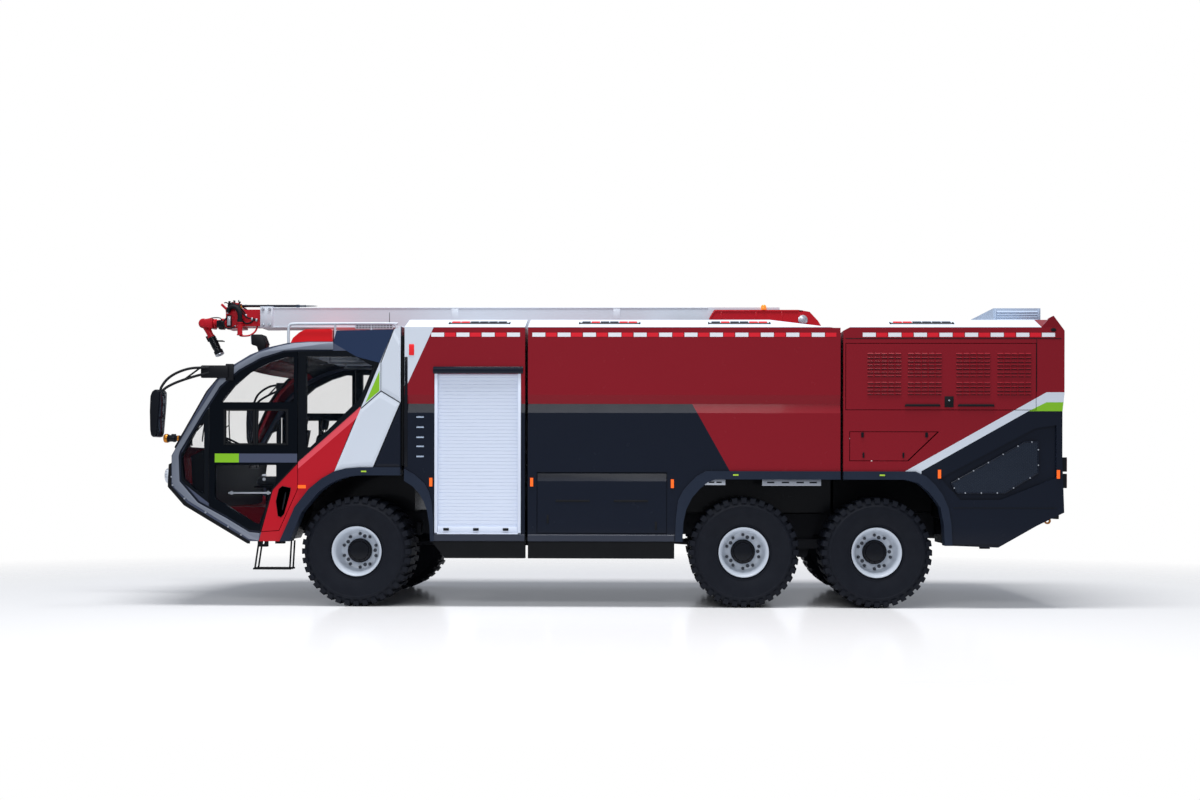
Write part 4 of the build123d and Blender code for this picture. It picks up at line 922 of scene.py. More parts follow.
# ----------------------------------------------------------------------------------------------- wheels
@dataclass
class Wheels(Part):
    """Six tyres with shoulder lugs, dished rims with studs, and dark hub caps."""

    lugs: int = 36
    studs: int = 10
    stud_ring: float = 0.207
    cap_radius: float = 0.15
    tyre_profile: Outline = (
        (0.270, -0.214), (0.286, -0.238), (0.318, -0.250), (0.326, -0.262), (0.336, -0.262), (0.344, -0.258),
        (0.420, -0.284), (0.500, -0.2955), (0.552, -0.2965), (0.558, -0.2995), (0.568, -0.2995),
        (0.574, -0.295), (0.616, -0.280), (0.640, -0.262), (0.648, -0.240), (0.653, -0.100), (0.654, 0.0))
    rim_profile: Outline = (
        (0.2685, 0.200), (0.2685, -0.205), (0.276, -0.222), (0.292, -0.238), (0.304, -0.252),
        (0.308, -0.262), (0.304, -0.268), (0.294, -0.266), (0.284, -0.256), (0.272, -0.240), (0.262, -0.215),
        (0.252, -0.160), (0.240, -0.110), (0.228, -0.080), (0.220, -0.072), (0.180, -0.066), (0.160, -0.068),
        (0.152, -0.075), (0.150, -0.020), (0.0, -0.018))
    lug_edge: tuple[Place, ...] = ((0.012, -4.2, -0.2), (0.120, -3.6, 1.6), (0.258, -2.9, 2.9))
    nut_profile: Outline = (
        (0.0, -0.104), (0.012, -0.104), (0.014, -0.100), (0.014, -0.086), (0.021, -0.084), (0.021, -0.062),
        (0.0, -0.062))
    hole_profile: Outline = (
        (0.0, -0.071), (0.015, -0.071), (0.019, -0.074), (0.023, -0.071), (0.023, -0.060), (0.0, -0.060))

    @staticmethod
    def at(turn: float, radius: float, y: float) -> Vector:
        """A point on a wheel at a turn in degrees, a radius and a distance along its axle."""
        return Vector((radius * math.sin(math.radians(turn)), y, radius * math.cos(math.radians(turn))))

    def tyre(self, centre: Vector) -> Shape:
        """One tyre whose outboard side faces -Y."""
        shape = Shape()
        far = [(r, -y) for r, y in reversed(self.tyre_profile[:-1])]
        shape.turn([*self.tyre_profile, *far, (0.262, 0.200), (0.262, -0.200)], centre, Axis.Y, 96,
                   closed=True)
        lug = Shape()
        for flip in (1, -1):
            foot = [(y, a) for y, a, _ in self.lug_edge] + [(y, b) for y, _, b in reversed(self.lug_edge)]
            lug.prism([[self.at(turn, radius, y * flip) for y, turn in foot] for radius in (0.648, WHEEL_R)])
            shoulder = ((WHEEL_R, 0.2575), (0.668, 0.279), (0.634, 0.2925), (0.604, 0.2965), (0.600, 0.270),
                        (0.640, 0.235))
            lug.prism([[self.at(turn, radius, y * flip) for radius, y in shoulder] for turn in (-2.9, 2.9)])
        shape.repeat(lug, RING, Count=self.lugs, Centre=tuple(centre))
        return shape

    def hub(self, centre: Vector) -> Shape:
        """One rim's nuts on their studs, and the small rings in its dish."""
        shape = Shape()
        nut = Shape().turn(self.nut_profile, (0, 0, self.stud_ring), Axis.Y, 6)
        shape.repeat(nut, RING, Count=self.studs, Centre=tuple(centre))
        hole = Shape().turn(self.hole_profile, (0, 0, 0.186), Axis.Y, 12)
        shape.repeat(hole, RING, Count=5, Turn=0.3, Centre=tuple(centre))
        return shape

    def build(self) -> None:
        """Builds every wheel."""
        for end, x in zip(("front", "mid", "rear"), AXLES):
            centre = Vector((x, -WHEEL_Y, WHEEL_R))
            body = f"wheel_{end}_{{side}}"
            self.tyre(centre).finish(f"tyre_{end}", self.palette.tyre, body, Sides.PAIR,
                                     replaces=(f"tyre_{end}_{{side}}",), smooth=24)
            rim = Shape().turn(self.rim_profile, centre, Axis.Y, 72)
            rim.finish(f"wheel_dish_{end}", self.palette.rim, body, Sides.PAIR,
                       replaces=(f"rim_{end}_{{side}}",), smooth=40)
            self.hub(centre).finish(f"wheel_nuts_{end}", self.palette.iron, body, Sides.PAIR, slot="steel")
            cap = Shape().turn([(self.cap_radius, -0.020), (self.cap_radius, -0.100), (0.142, -0.110),
                                (0.118, -0.114), (0.112, -0.126), (0.060, -0.132), (0.0, -0.132)], centre,
                               Axis.Y, 48)
            bolt = Shape().drum(0.008, (-0.122, -0.108), (0, 0, 0.130), Axis.Y, 6)
            cap.repeat(bolt, RING, Count=12, Centre=tuple(centre))
            cap.finish(f"hub_cap_{end}", self.palette.gloss, body, Sides.PAIR, slot="graphite_paint")


# ------------------------------------------------------------------------------------------------- cab
def strip(outer: Sequence[Point], inner: Sequence[Point]) -> list[Point]:
    """A band's outline between two edges that run the same way, in metres."""
    return metres([*outer, *reversed(inner)])


@dataclass
class CabSides(Part):
    """What is on the cab's sides: frame bands, raised facets, seams and the doors' fittings."""

    proud: float = 0.012
    frame_outer: Outline = (
        (-278, 3244), (-574, 3243), (-760, 3231), (-946, 3194), (-1193, 3119), (-1438, 2984), (-1660, 2824),
        (-1870, 2490), (-2056, 2205), (-2240, 1896), (-2265, 1833), (-2265, 1526), (-2229, 1453),
        (-2057, 1293), (-1438, 912), (-1315, 828), (-1192, 806))
    frame_inner: Outline = (
        (-278, 3152), (-698, 3152), (-884, 3140), (-1168, 3053), (-1441, 2904), (-1672, 2704), (-1884, 2375),
        (-2168, 1900), (-2182, 1836), (-2170, 1533), (-1944, 1270), (-1594, 1082), (-1309, 910), (-1180, 898))
    frame_middle: Point = (-1200, 2050)
    lip_width: float = 26.0
    seam_width: float = 10.0
    pocket: Outline = (
        (-948, 1441), (-905, 1478), (-797, 1456), (-812, 1375), (-880, 1135), (-920, 1092), (-958, 1110),
        (-982, 1290))
    seam_red: Outline = ((-1030, 1428), (-713, 1776), (56, 2461), (228, 2942))
    panel_a: Outline = ((466, 3392), (541, 3240), (541, 2520), (310, 2652), (310, 2985))
    panel_b: Outline = ((310, 2630), (541, 2492), (212, 1716), (-250, 1668), (66, 2420))
    panel_c: Outline = ((541, 2440), (541, 1718), (246, 1718))
    windows: tuple = (((-1614, 1995), (-1255, 2407)), ((-1218, 1995), (-847, 2407)))
    lock_profile: Outline = ((0, -0.012), (0.016, -0.012), (0.019, -0.008), (0.019, 0.002), (0, 0.002))
    rail_plate: Outline = ((-1580, 1382), (-1050, 1382), (-1050, 1402), (-1580, 1402))

    def band(self) -> None:
        """The raised band round the door opening, and the dark lip inside it."""
        band = Shape().slab(strip(self.frame_outer, self.frame_inner), wall(self.proud, 0.002), 0.005)
        band.finish("cab_frame_band", self.palette.frame, sides=Sides.BOTH)
        lip = []
        for x, z in self.frame_inner:
            share = self.lip_width / math.dist((x, z), self.frame_middle)
            lip.append((x + (self.frame_middle[0] - x) * share, z + (self.frame_middle[1] - z) * share))
        edge = Shape().slab(strip(self.frame_inner, lip), wall(0.007, 0.002), 0.002)
        edge.finish("cab_frame_lip", self.palette.graphite, sides=Sides.BOTH, slot="grey_paint")

    def facets(self) -> None:
        """The faceted panels behind the door, each a little raised."""
        for name, outline, finish in (
                ("upper", self.panel_a, self.palette.white),
                ("lower", self.panel_b, self.palette.white),
                ("rear", self.panel_c, self.palette.graphite)):
            centre = (sum(x for x, _ in outline) / len(outline), sum(z for _, z in outline) / len(outline))
            small = [(x + (centre[0] - x) * 0.14, z + (centre[1] - z) * 0.14) for x, z in outline]
            ends = [[(x / 1000, y, z / 1000) for x, z in ring]
                    for ring, y in ((outline, -HALF + 0.002), (outline, -HALF - 0.003),
                                    (small, -HALF - 0.010))]
            Shape().prism(ends).finish(f"cab_facet_{name}", finish, sides=Sides.BOTH, smooth=3)

    def seams(self) -> None:
        """Thin shut lines between the facets."""
        lines = Shape()
        for path in (self.seam_red, ((310, 2998), (310, 2645), (548, 2500)), ((310, 2645), (66, 2432)),
                     ((546, 2499), (216, 1712)), ((-1030, 1428), (-1180, 905)),
                     ((-278, 3250), (-278, 3390)), ((466, 3396), (306, 2990))):
            for (ax, az), (bx, bz) in zip(path, path[1:]):
                long = math.hypot(bx - ax, bz - az)
                nx, nz = (v / long * self.seam_width / 2 for v in (az - bz, bx - ax))
                lines.slab(metres([(ax + nx, az + nz), (bx + nx, bz + nz), (bx - nx, bz - nz),
                                   (ax - nx, az - nz)]), wall(0.0035, 0.002))
        lines.finish("cab_seams", self.palette.gasket, sides=Sides.BOTH)

    def door(self) -> None:
        """Door fittings that swing with it: window seals, grab pocket, rail, lock and handle."""
        seals = Shape()
        for (x0, z0), (x1, z1) in self.windows:
            for a, b, c, d in ((x0 - 14, x0 + 8, z0 - 14, z1 + 14), (x1 - 8, x1 + 14, z0 - 14, z1 + 14),
                               (x0, x1, z0 - 14, z0 + 8), (x0, x1, z1 - 8, z1 + 14)):
                seals.slab(metres([(a, c), (b, c), (b, d), (a, d)]), wall(0.004, 0.010))
        seals.finish("door_window_seals", self.palette.gasket, "door_{side}", Sides.PAIR)
        inner = [(x + (-888 - x) * 0.05, z + (1300 - z) * 0.03) for x, z in self.pocket]
        rim = strip([*self.pocket, self.pocket[0]], [*inner, inner[0]])
        pocket = Shape().slab(rim, wall(0.004, 0.030))
        pocket.slab(metres(inner), wall(-0.0325, 0.036))
        pocket.finish("door_grab_pocket", self.palette.black, "door_{side}", Sides.PAIR)
        bar = Shape().pipe([(-0.850, -HALF + 0.028, 1.440), (-0.862, -HALF + 0.004, 1.39),
                            (-0.900, -HALF + 0.004, 1.20), (-0.915, -HALF + 0.028, 1.13)], 0.011, 10)
        bar.finish("door_grab_bar", self.palette.gloss, "door_{side}", Sides.PAIR)
        rail = Shape().slab(metres(self.rail_plate), wall(-0.024, 0.036), 0.004)
        for x in (-1540, -1090):
            rail.slab(metres([(x - 12, 1370), (x + 12, 1370), (x + 12, 1414), (x - 12, 1414)]),
                      wall(-0.023, 0.058), 0.003)
        rail.finish("door_inner_rail", self.palette.steel, "door_{side}", Sides.PAIR)
        lock = Shape().turn(self.lock_profile, (-1.128, -HALF, 1.56), Axis.Y, 24)
        lock.box((-1.150, -1.100), wall(0.016, 0.002), (1.600, 1.622), 0.004)
        lock.finish("door_lock", self.palette.steel, "door_{side}", Sides.PAIR)

    def build(self) -> None:
        """Builds the cab's sides."""
        self.band()
        self.facets()
        self.seams()
        self.door()


@dataclass
class CabFront(Part):
    """Head lamps, wipers, the windscreen's seal and the guard's bolts."""

    plan_x: float = 2.4
    reach: float = 2.507
    guard: float = 0.045
    lamp_y: Span = (-1.12, -0.86)
    lamp_z: float = 1.6
    screen_turn: float = 16.4
    screen_profile: Outline = ((1.850, 2.507), (2.643, 2.084), (2.817, 1.948), (2.968, 1.782), (3.080, 1.600))
    lamp_rim: Outline = ((0.082, -0.004), (0.090, -0.012), (0.094, -0.006), (0.094, 0.020), (0.082, 0.020))
    lamp_lens: Outline = ((0.083, 0.004), (0.070, -0.004), (0.030, -0.010), (0.0, -0.011))
    seal_heights: tuple[float, ...] = (1.956, 2.2, 2.5, 2.643, 2.817, 2.968, 3.030)
    wiper_hub: Outline = ((0, -0.03), (0.028, -0.026), (0.032, 0.0), (0.032, 0.05), (0, 0.05))
    guard_bolts: Outline = (
        (-2.262, 1.60), (-2.245, 1.50), (-2.10, 1.335), (-1.84, 1.165), (-1.56, 0.99), (-1.40, 0.89))
    bolt_profile: Outline = ((0, -0.012), (0.010, -0.012), (0.013, -0.008), (0.013, 0.004), (0, 0.004))

    def nose(self, y: float, more: float = 0.0) -> float:
        """Station of the nose's face at a given Y."""
        return self.plan_x - math.sqrt((self.plan_x + self.reach + more) ** 2 - y * y)

    def lamps(self) -> None:
        """Rim and lens of each head lamp."""
        rims, lenses = Shape(), Shape()
        for y in self.lamp_y:
            spot = (self.nose(y, self.guard) - 0.035, y, self.lamp_z)
            rims.turn(self.lamp_rim, spot, Axis.X, 48, closed=True)
            lenses.turn(self.lamp_lens, spot, Axis.X, 40)
        rims.finish("head_lamp_rims", self.palette.steel, sides=Sides.BOTH)
        lenses.finish("head_lamp_lenses", self.palette.clear, sides=Sides.BOTH)

    def screen(self, y: float, z: float) -> Vector:
        """A point just ahead of the windscreen's face at a given Y and height."""
        for (z0, r0), (z1, r1) in zip(self.screen_profile, self.screen_profile[1:]):
            if z <= z1 or z1 == self.screen_profile[-1][0]:
                reach = r0 + (r1 - r0) * (z - z0) / (z1 - z0)
                break
        return Vector((self.plan_x - math.sqrt((self.plan_x + reach) ** 2 - y * y) - 0.012, y, z))

    def wipers(self) -> None:
        """Two wiper arms with their blades, and the seal round the windscreen."""
        arms = Shape()
        for y in (-0.80, 0.10):
            foot, tip = self.screen(y, 1.88), self.screen(y + 0.42, 2.30)
            arms.tube([foot, foot.lerp(tip, 0.5) + Vector((-0.022, 0, 0.012)), tip], 0.011, 8, 0.007)
            arms.tube([self.screen(y + 0.42 - d * 0.30, 2.30 + d * 0.24) for d in (-1, -0.5, 0, 0.5, 1)],
                      0.009, 6)
            arms.turn(self.wiper_hub, foot, Axis.X, 20)
        arms.finish("wipers", self.palette.black)
        edge = []
        for z in self.seal_heights:
            reach = -self.screen(0.0, z).x - 0.012
            edge.append(self.screen((self.plan_x + reach) * math.sin(math.radians(self.screen_turn)), z))
        seal = Shape()
        for z, y in ((edge[0].z, edge[0].y), (edge[-1].z, edge[-1].y)):
            seal.tube([self.screen(y * i / 8, z) for i in range(-8, 9)], 0.020, 8)
        for side in (1, -1):
            seal.tube([Vector((p.x, p.y * side, p.z)) for p in edge], 0.020, 8)
        seal.finish("windscreen_seal", self.palette.gasket)

    def build(self) -> None:
        """Builds the cab's front."""
        self.lamps()
        self.wipers()
        bolts = Shape()
        for x, z in self.guard_bolts:
            bolts.turn(self.bolt_profile, (x - 0.010, -HALF - 0.002 + 0.005, z - 0.012), Axis.Y, 8)
        bolts.finish("guard_bolts", self.palette.steel, sides=Sides.BOTH)


@dataclass
class Mirrors(Part):
    """A mirror on each side: bracket, two crossed arms and a tapered head."""

    glass_outlines: tuple = (
        ((-2270, 2590), (-2274, 2480), (-2287, 2310), (-2279, 2310), (-2265, 2480), (-2261, 2590)),
        ((-2291, 2285), (-2304, 2130), (-2296, 2130), (-2282, 2285)))
    cross_arm: tuple[Place, ...] = ((-1.90, -1.575, 2.915), (-2.07, -1.65, 2.765))
    head_outline: Outline = (
        (-2384, 2150), (-2389, 2380), (-2381, 2560), (-2360, 2612), (-2330, 2636), (-2282, 2636),
        (-2264, 2610), (-2268, 2480), (-2284, 2300), (-2300, 2120), (-2316, 2072), (-2350, 2064),
        (-2372, 2085))

    def build(self) -> None:
        """Builds both mirrors."""
        out = -HALF
        arms = Shape()
        upper = [(-1.79, out - 0.045, 2.925), (-1.98, -1.60, 2.915), (-2.12, -1.66, 2.865),
                 (-2.23, -1.71, 2.785), (-2.295, -1.755, 2.68), (-2.31, -1.77, 2.60)]
        lower = [(-1.79, out - 0.045, 2.865), (-1.94, -1.59, 2.82), (-2.08, -1.65, 2.765),
                 (-2.19, -1.70, 2.71), (-2.27, -1.75, 2.645), (-2.31, -1.77, 2.56)]
        for path in (upper, lower):
            arms.pipe(path, 0.016, 12)
        arms.tube(self.cross_arm, 0.011, 10)
        arms.box((-1.90, -1.56), (out - 0.052, out - 0.004), (2.80, 2.955), 0.016)
        arms.box((-1.60, -1.50), (out - 0.030, out - 0.002), (2.77, 2.975), 0.010)
        arms.finish("mirror_arms", self.palette.black, sides=Sides.BOTH, replaces=("mirrors",))
        outline = metres(self.head_outline)
        head = Shape()
        small = [(x * 0.85 - 2.325 * 0.15, z * 0.96 + 2.35 * 0.04) for x, z in outline]
        head.prism([[(x, y, z) for x, z in ring] for ring, y in
                    ((small, -1.905), (outline, -1.882), (outline, -1.672), (small, -1.648))], 0.006)
        head.finish("mirror_heads", self.palette.gloss, sides=Sides.BOTH, smooth=50)
        glass = Shape()
        for edge in self.glass_outlines:
            glass.slab(metres(edge), (-1.865, -1.690), 0.001)
        glass.finish("mirror_glass", self.palette.mirror, sides=Sides.BOTH)


# ------------------------------------------------------------------------------------------------- body
@dataclass
class BodySides(Part):
    """Strips, lights, louvres, latches and shutter fittings on the body's sides."""

    tape_z: Span = (3.310, 3.360)
    tape_pitch: float = 0.310
    louvre_rows: tuple = ((2.828, 7), (2.609, 4))
    louvre_groups: tuple[float, ...] = (6.253, 6.742, 7.330, 7.826)
    louvre_pitch: Point = (0.0845, 0.0445)
    roof_edge: Point = (0.32, 0.125)
    edge_z: float = 3.43
    wire_tilt: float = 0.6
    wire_pitch: float = 0.028
    tape_runs: Outline = ((0.80, 2.05), (2.15, 5.90), (6.10, 8.60))
    light_bars: tuple = (
        ("front", 1.128, 1.866, (0, 1)), ("middle", 2.737, 3.472, (1, 4, 5)),
        ("rear", 4.328, 5.073, (1, 4, 5)), ("tail", 6.557, 7.321, (0, 1)))
    latch_plate: Outline = ((7.188, 2.453), (7.297, 2.453), (7.297, 2.586), (7.188, 2.586))
    latch_key: Outline = ((7.215, 2.478), (7.270, 2.478), (7.270, 2.560), (7.215, 2.560))
    lock_profile: Outline = ((0, -0.018), (0.009, -0.018), (0.012, -0.013), (0, -0.013))
    vent_heights: tuple[float, ...] = (2.328, 2.204, 2.080, 1.969, 1.845)
    grille_outline: Outline = (
        (7273, 1531), (7345, 1411), (7927, 1413), (8326, 1657), (8326, 2032), (8169, 2032))
    rivet_profile: Outline = ((0, -0.006), (0.008, -0.004), (0.010, 0.002), (0, 0.002))

    def tape(self) -> None:
        """The line of white and red reflecting strips under the roof's edge."""
        for name, start, long, finish in (("white", 0.925, 0.158, self.palette.tape_white),
                                          ("red", 1.092, 0.132, self.palette.tape_red)):
            shape = Shape()
            for low, high in self.tape_runs:
                first = math.ceil((low - start) / self.tape_pitch)
                count = int((high - long - start) / self.tape_pitch) - first + 1
                unit = Shape().box((0, long), wall(0.0015, 0.001), self.tape_z)
                shape.repeat(unit, GRID, Columns=count, Step=(self.tape_pitch, 0, 0),
                             Start=(start + first * self.tape_pitch, 0, 0))
            shape.finish(f"reflecting_strips_{name}", finish, sides=Sides.BOTH)

    def edge_lights(self) -> None:
        """Long light bars on the slanted edge of the roof: six lenses and two dark end pieces each."""
        slope = math.atan2(self.roof_edge[1], self.roof_edge[0])
        place = Matrix.Translation((0, -HALF, self.edge_z)) @ Matrix.Rotation(slope, 4, "X")
        for name, x0, x1, red in self.light_bars:
            step = (x1 - x0 - 0.05) / 6
            for part, cells, finish in (("red", red, self.palette.lamp_red),
                                        ("plain", [c for c in range(6) if c not in red],
                                         self.palette.blue)):
                lens = Shape()
                for cell in cells:
                    a = x0 + 0.025 + cell * step
                    lens.take(Shape().box((a + 0.004, a + step - 0.004), (0.142, 0.193), (0.012, 0.0215),
                                          0.004), place)
                lens.finish(f"edge_light_{name}_{part}", finish, sides=Sides.BOTH)
            gasket = Shape()
            for a, b in ((x0 - 0.012, x0 + 0.004), (x1 - 0.004, x1 + 0.012)):
                gasket.take(Shape().box((a, b), (0.128, 0.207), (-0.004, 0.012), 0.005), place)
            gasket.finish(f"edge_light_{name}_ends", self.palette.gloss, sides=Sides.BOTH)

    def engine_doors(self) -> None:
        """Louvres, handles and the latch on the engine doors."""
        gaps, rims = Shape(), Shape()
        bridge = Shape().box((0, 0.0145), wall(0.0118, 0.002), (-0.004, 0.026))
        slot = Shape().box((0, 0.070), wall(0.0035, 0.001), (-0.0075, 0.0005))
        step, rise = (self.louvre_pitch[0], 0, 0), (0, 0, self.louvre_pitch[1])
        for x in self.louvre_groups:
            for z, rows in self.louvre_rows:
                gaps.repeat(slot, GRID, Columns=5, Rows=rows, Step=step, Rise=rise, Start=(x, 0, z))
                rims.repeat(bridge, GRID, Columns=4, Rows=rows, Step=step, Rise=rise, Start=(x + 0.070, 0, z))
        gaps.finish("louvre_gaps", self.palette.gasket, "engine_door_{side}", Sides.PAIR, slot="red_paint",
                    smooth=20)
        rims.finish("louvre_bridges", self.palette.engine, "engine_door_{side}", Sides.PAIR, smooth=20)
        handles = Shape()
        for x0, x1 in ((6.703, 7.139), (7.345, 7.794)):
            handles.slab([(x0, 2.463), (x1, 2.463), (x1 - 0.012, 2.490), (x0 + 0.012, 2.490)],
                         wall(0.016, 0.002), 0.004)
        handles.slab(self.latch_plate, wall(0.009, 0.002), 0.006)
        handles.slab(self.latch_key, wall(0.013, 0), 0.003)
        handles.finish("engine_door_handles", self.palette.gasket, "engine_door_{side}", Sides.PAIR)
        lock = Shape().turn(self.lock_profile, (7.243, -HALF, 2.535), Axis.Y, 20)
        lock.finish("engine_door_lock", self.palette.steel, "engine_door_{side}", Sides.PAIR)

    def hatch(self) -> None:
        """Hinges and latches of the small side hatch."""
        parts = Shape()
        for x in (6.192, 6.970):
            parts.box(about(x, 0.016), wall(0.014, 0.002), (2.085, 2.145), 0.004)
        for x in (6.205, 6.690):
            parts.box(about(x, 0.011), wall(0.012, 0.002), (1.835, 1.900), 0.005)
        parts.finish("side_hatch_fittings", self.palette.gloss, "hatch_{side}", Sides.PAIR)

    def shutter(self) -> None:
        """Rails, header and bottom bar of the roller shutter."""
        rails = Shape()
        for x in (0.968, 1.989):
            rails.box((x, x + 0.037), wall(0.010, 0.020), (0.893, 2.857), 0.004)
        rails.box((0.968, 2.026), wall(0.010, 0.020), (0.893, 0.915), 0.004)
        rails.finish("shutter_rails", self.palette.shutter, sides=Sides.BOTH)
        header = Shape().bar([(-HALF + 0.002, 2.860), (-HALF - 0.020, 2.862), (-HALF - 0.030, 2.885),
                              (-HALF - 0.030, 2.915), (-HALF - 0.018, 2.940), (-HALF + 0.002, 2.946)],
                             (0.952, 2.052), 0.004)
        header.finish("shutter_header", self.palette.graphite, sides=Sides.BOTH)
        bar = Shape().box((1.006, 1.988), wall(0.002, 0.020), (0.918, 0.985), 0.006)
        bar.finish("shutter_foot", self.palette.shutter, sides=Sides.BOTH)
        latches = Shape()
        for x in (1.113, 1.478, 1.843):
            latches.box(about(x, 0.035), wall(0.016, 0), (0.935, 0.968), 0.006)
        latches.finish("shutter_latches", self.palette.black, sides=Sides.BOTH)

    def lower_panels(self) -> None:
        """Vent panel ahead of the shutter, flap slots, sill bands and the side reflector."""
        vent, dark = Shape(), Shape()
        for z in self.vent_heights:
            vent.bar([(-HALF + 0.012, z + 0.012), (-HALF + 0.002, z - 0.004), (-HALF + 0.002, z + 0.002),
                      (-HALF + 0.012, z + 0.0125)], (0.744, 0.836))
            vent.box((0.744, 0.836), wall(-0.001, 0.01), (z - 0.010, z - 0.003))
            dark.box((0.743, 0.837), wall(-0.011, 0.0139), (z - 0.0125, z + 0.0115))
            for x in (0.768, 0.786, 0.804, 0.822):
                vent.box(about(x, 0.002), wall(-0.003, 0.012), about(z, 0.010))
        vent.finish("vent_vanes", self.palette.pale, sides=Sides.BOTH)
        dark.finish("vent_gaps", self.palette.liner, sides=Sides.BOTH)
        slots = Shape()
        for x0, x1 in ((2.455, 2.872), (3.166, 3.583)):
            slots.box((x0, x1), wall(0.005, 0.004), (1.290, 1.316), 0.004)
        for x, z in ((2.357, 1.079), (3.680, 1.001)):
            slots.box(about(x, 0.012), wall(0.006, 0.004), about(z, 0.05), 0.004)
        slots.finish("flap_fittings", self.palette.gasket, "flap_{side}", Sides.PAIR)
        sill = Shape()
        for x0, x1 in ((0.935, 2.072), (2.115, 3.905)):
            sill.bar([(-HALF + 0.002, 0.893), (-HALF - 0.010, 0.884), (-HALF - 0.010, 0.815),
                      (-HALF + 0.002, 0.808)], (x0, x1))
        sill.finish("sill_bands", self.palette.sill, sides=Sides.BOTH)
        # The red lens glows a little here: painted light, as the reflector is no lamp.
        reflector = Shape().box((0.652, 0.715), wall(0.006, 0.001), (3.083, 3.219), 0.004)
        reflector.finish("side_reflector", self.palette.lamp_red, sides=Sides.BOTH)

    def grille(self) -> None:
        """Frame, wires and rivets of the rear air intake."""
        outline = metres(self.grille_outline)
        wires = Shape()
        for tilt in (self.wire_tilt, -self.wire_tilt):
            for i in range(-34, 35):
                c, n = math.cos(tilt), math.sin(tilt)
                hits = self.clip(outline, (7.80 - n * i * self.wire_pitch, 1.72 + c * i * self.wire_pitch),
                                 (c, n))
                if hits:
                    a, b = hits
                    wires.slab([(a[0] - n * 0.003, a[1] + c * 0.003), (b[0] - n * 0.003, b[1] + c * 0.003),
                                (b[0] + n * 0.003, b[1] - c * 0.003), (a[0] + n * 0.003, a[1] - c * 0.003)],
                               wall(-0.007, 0.012))
        wires.finish("grille_mesh", self.palette.mesh, sides=Sides.BOTH)
        edge = Shape()
        rivets = Shape()
        for (ax, az), (bx, bz) in zip(outline, outline[1:] + outline[:1]):
            edge.tube([(ax, -HALF + 0.010, az), (bx, -HALF + 0.010, bz)], 0.009, 8)
            steps = max(1, round(math.hypot(bx - ax, bz - az) / 0.19))
            for i in range(steps):
                t = (i + 0.5) / steps
                spot = Vector((ax + (bx - ax) * t, -HALF + 0.003, az + (bz - az) * t))
                rivets.turn(self.rivet_profile, spot, Axis.Y, 10)
        edge.finish("grille_frame", self.palette.graphite, sides=Sides.BOTH)
        rivets.finish("grille_rivets", self.palette.steel, sides=Sides.BOTH)

    @staticmethod
    def clip(outline: Sequence[Point], spot: Point, way: Point) -> tuple[Point, Point] | None:
        """The two ends of a line within an outline, or None where it misses."""
        hits = []
        for (ax, az), (bx, bz) in zip(outline, [*outline[1:], outline[0]]):
            ex, ez = bx - ax, bz - az
            det = way[0] * -ez + way[1] * ex
            if abs(det) < 1e-9:
                continue
            t = ((ax - spot[0]) * -ez + (az - spot[1]) * ex) / det
            u = (way[0] * (az - spot[1]) - way[1] * (ax - spot[0])) / det
            if 0 <= u < 1:
                hits.append(t)
        if len(hits) < 2:
            return None
        low, high = min(hits), max(hits)
        return tuple((spot[0] + way[0] * t, spot[1] + way[1] * t) for t in (low, high))

    def build(self) -> None:
        """Builds the body's sides."""
        self.tape()
        self.edge_lights()
        self.engine_doors()
        self.hatch()
        self.shutter()
        self.lower_panels()
        self.grille()


# ------------------------------------------------------------------------------------------------- boom
def studs(shape: Shape, spots: Iterable[Place], axis: Axis, out: float, size: float = 0.012) -> Shape:
    """Adds hexagon heads on washers.

    Args:
        shape: The shape that gets them.
        spots: Where each one stands on its surface.
        axis: The axis it points along.
        out: 1 or -1, the way it points.
        size: Half the head's width.

    Returns:
        The shape.
    """
    washer = [(0.0, out * 0.003), (size * 1.35, out * 0.003), (size * 1.35, out * -0.001),
              (0.0, out * -0.001)]
    head = [(0.0, out * size * 0.85), (size * 0.85, out * size * 0.85), (size, out * size * 0.7), (size, 0.0),
            (0.0, 0.0)]
    for place in spots:
        shape.turn(washer, place, axis, 10)
        shape.turn(head, place, axis, 6)
    return shape


def aimed(origin: Vector, way: Vector) -> Matrix:
    """A move that takes local X to a direction, at an origin."""
    return Matrix.Translation(origin) @ way.to_track_quat("X", "Z").to_matrix().to_4x4()


def stadium(centre: Point, radius: float, foot: Sequence[Point], steps: int = 12) -> list[Point]:
    """A cheek's outline in X and Z: two foot corners and a round end about a pin."""
    low, high = foot
    away = math.atan2(centre[1] - (low[1] + high[1]) / 2, centre[0] - (low[0] + high[0]) / 2)
    ring = [(centre[0] + radius * math.cos(away + math.pi * (i / steps - 0.5)),
             centre[1] + radius * math.sin(away + math.pi * (i / steps - 0.5))) for i in range(steps + 1)]
    return [high, low, *ring] if math.dist(ring[0], low) < math.dist(ring[0], high) else [low, high, *ring]


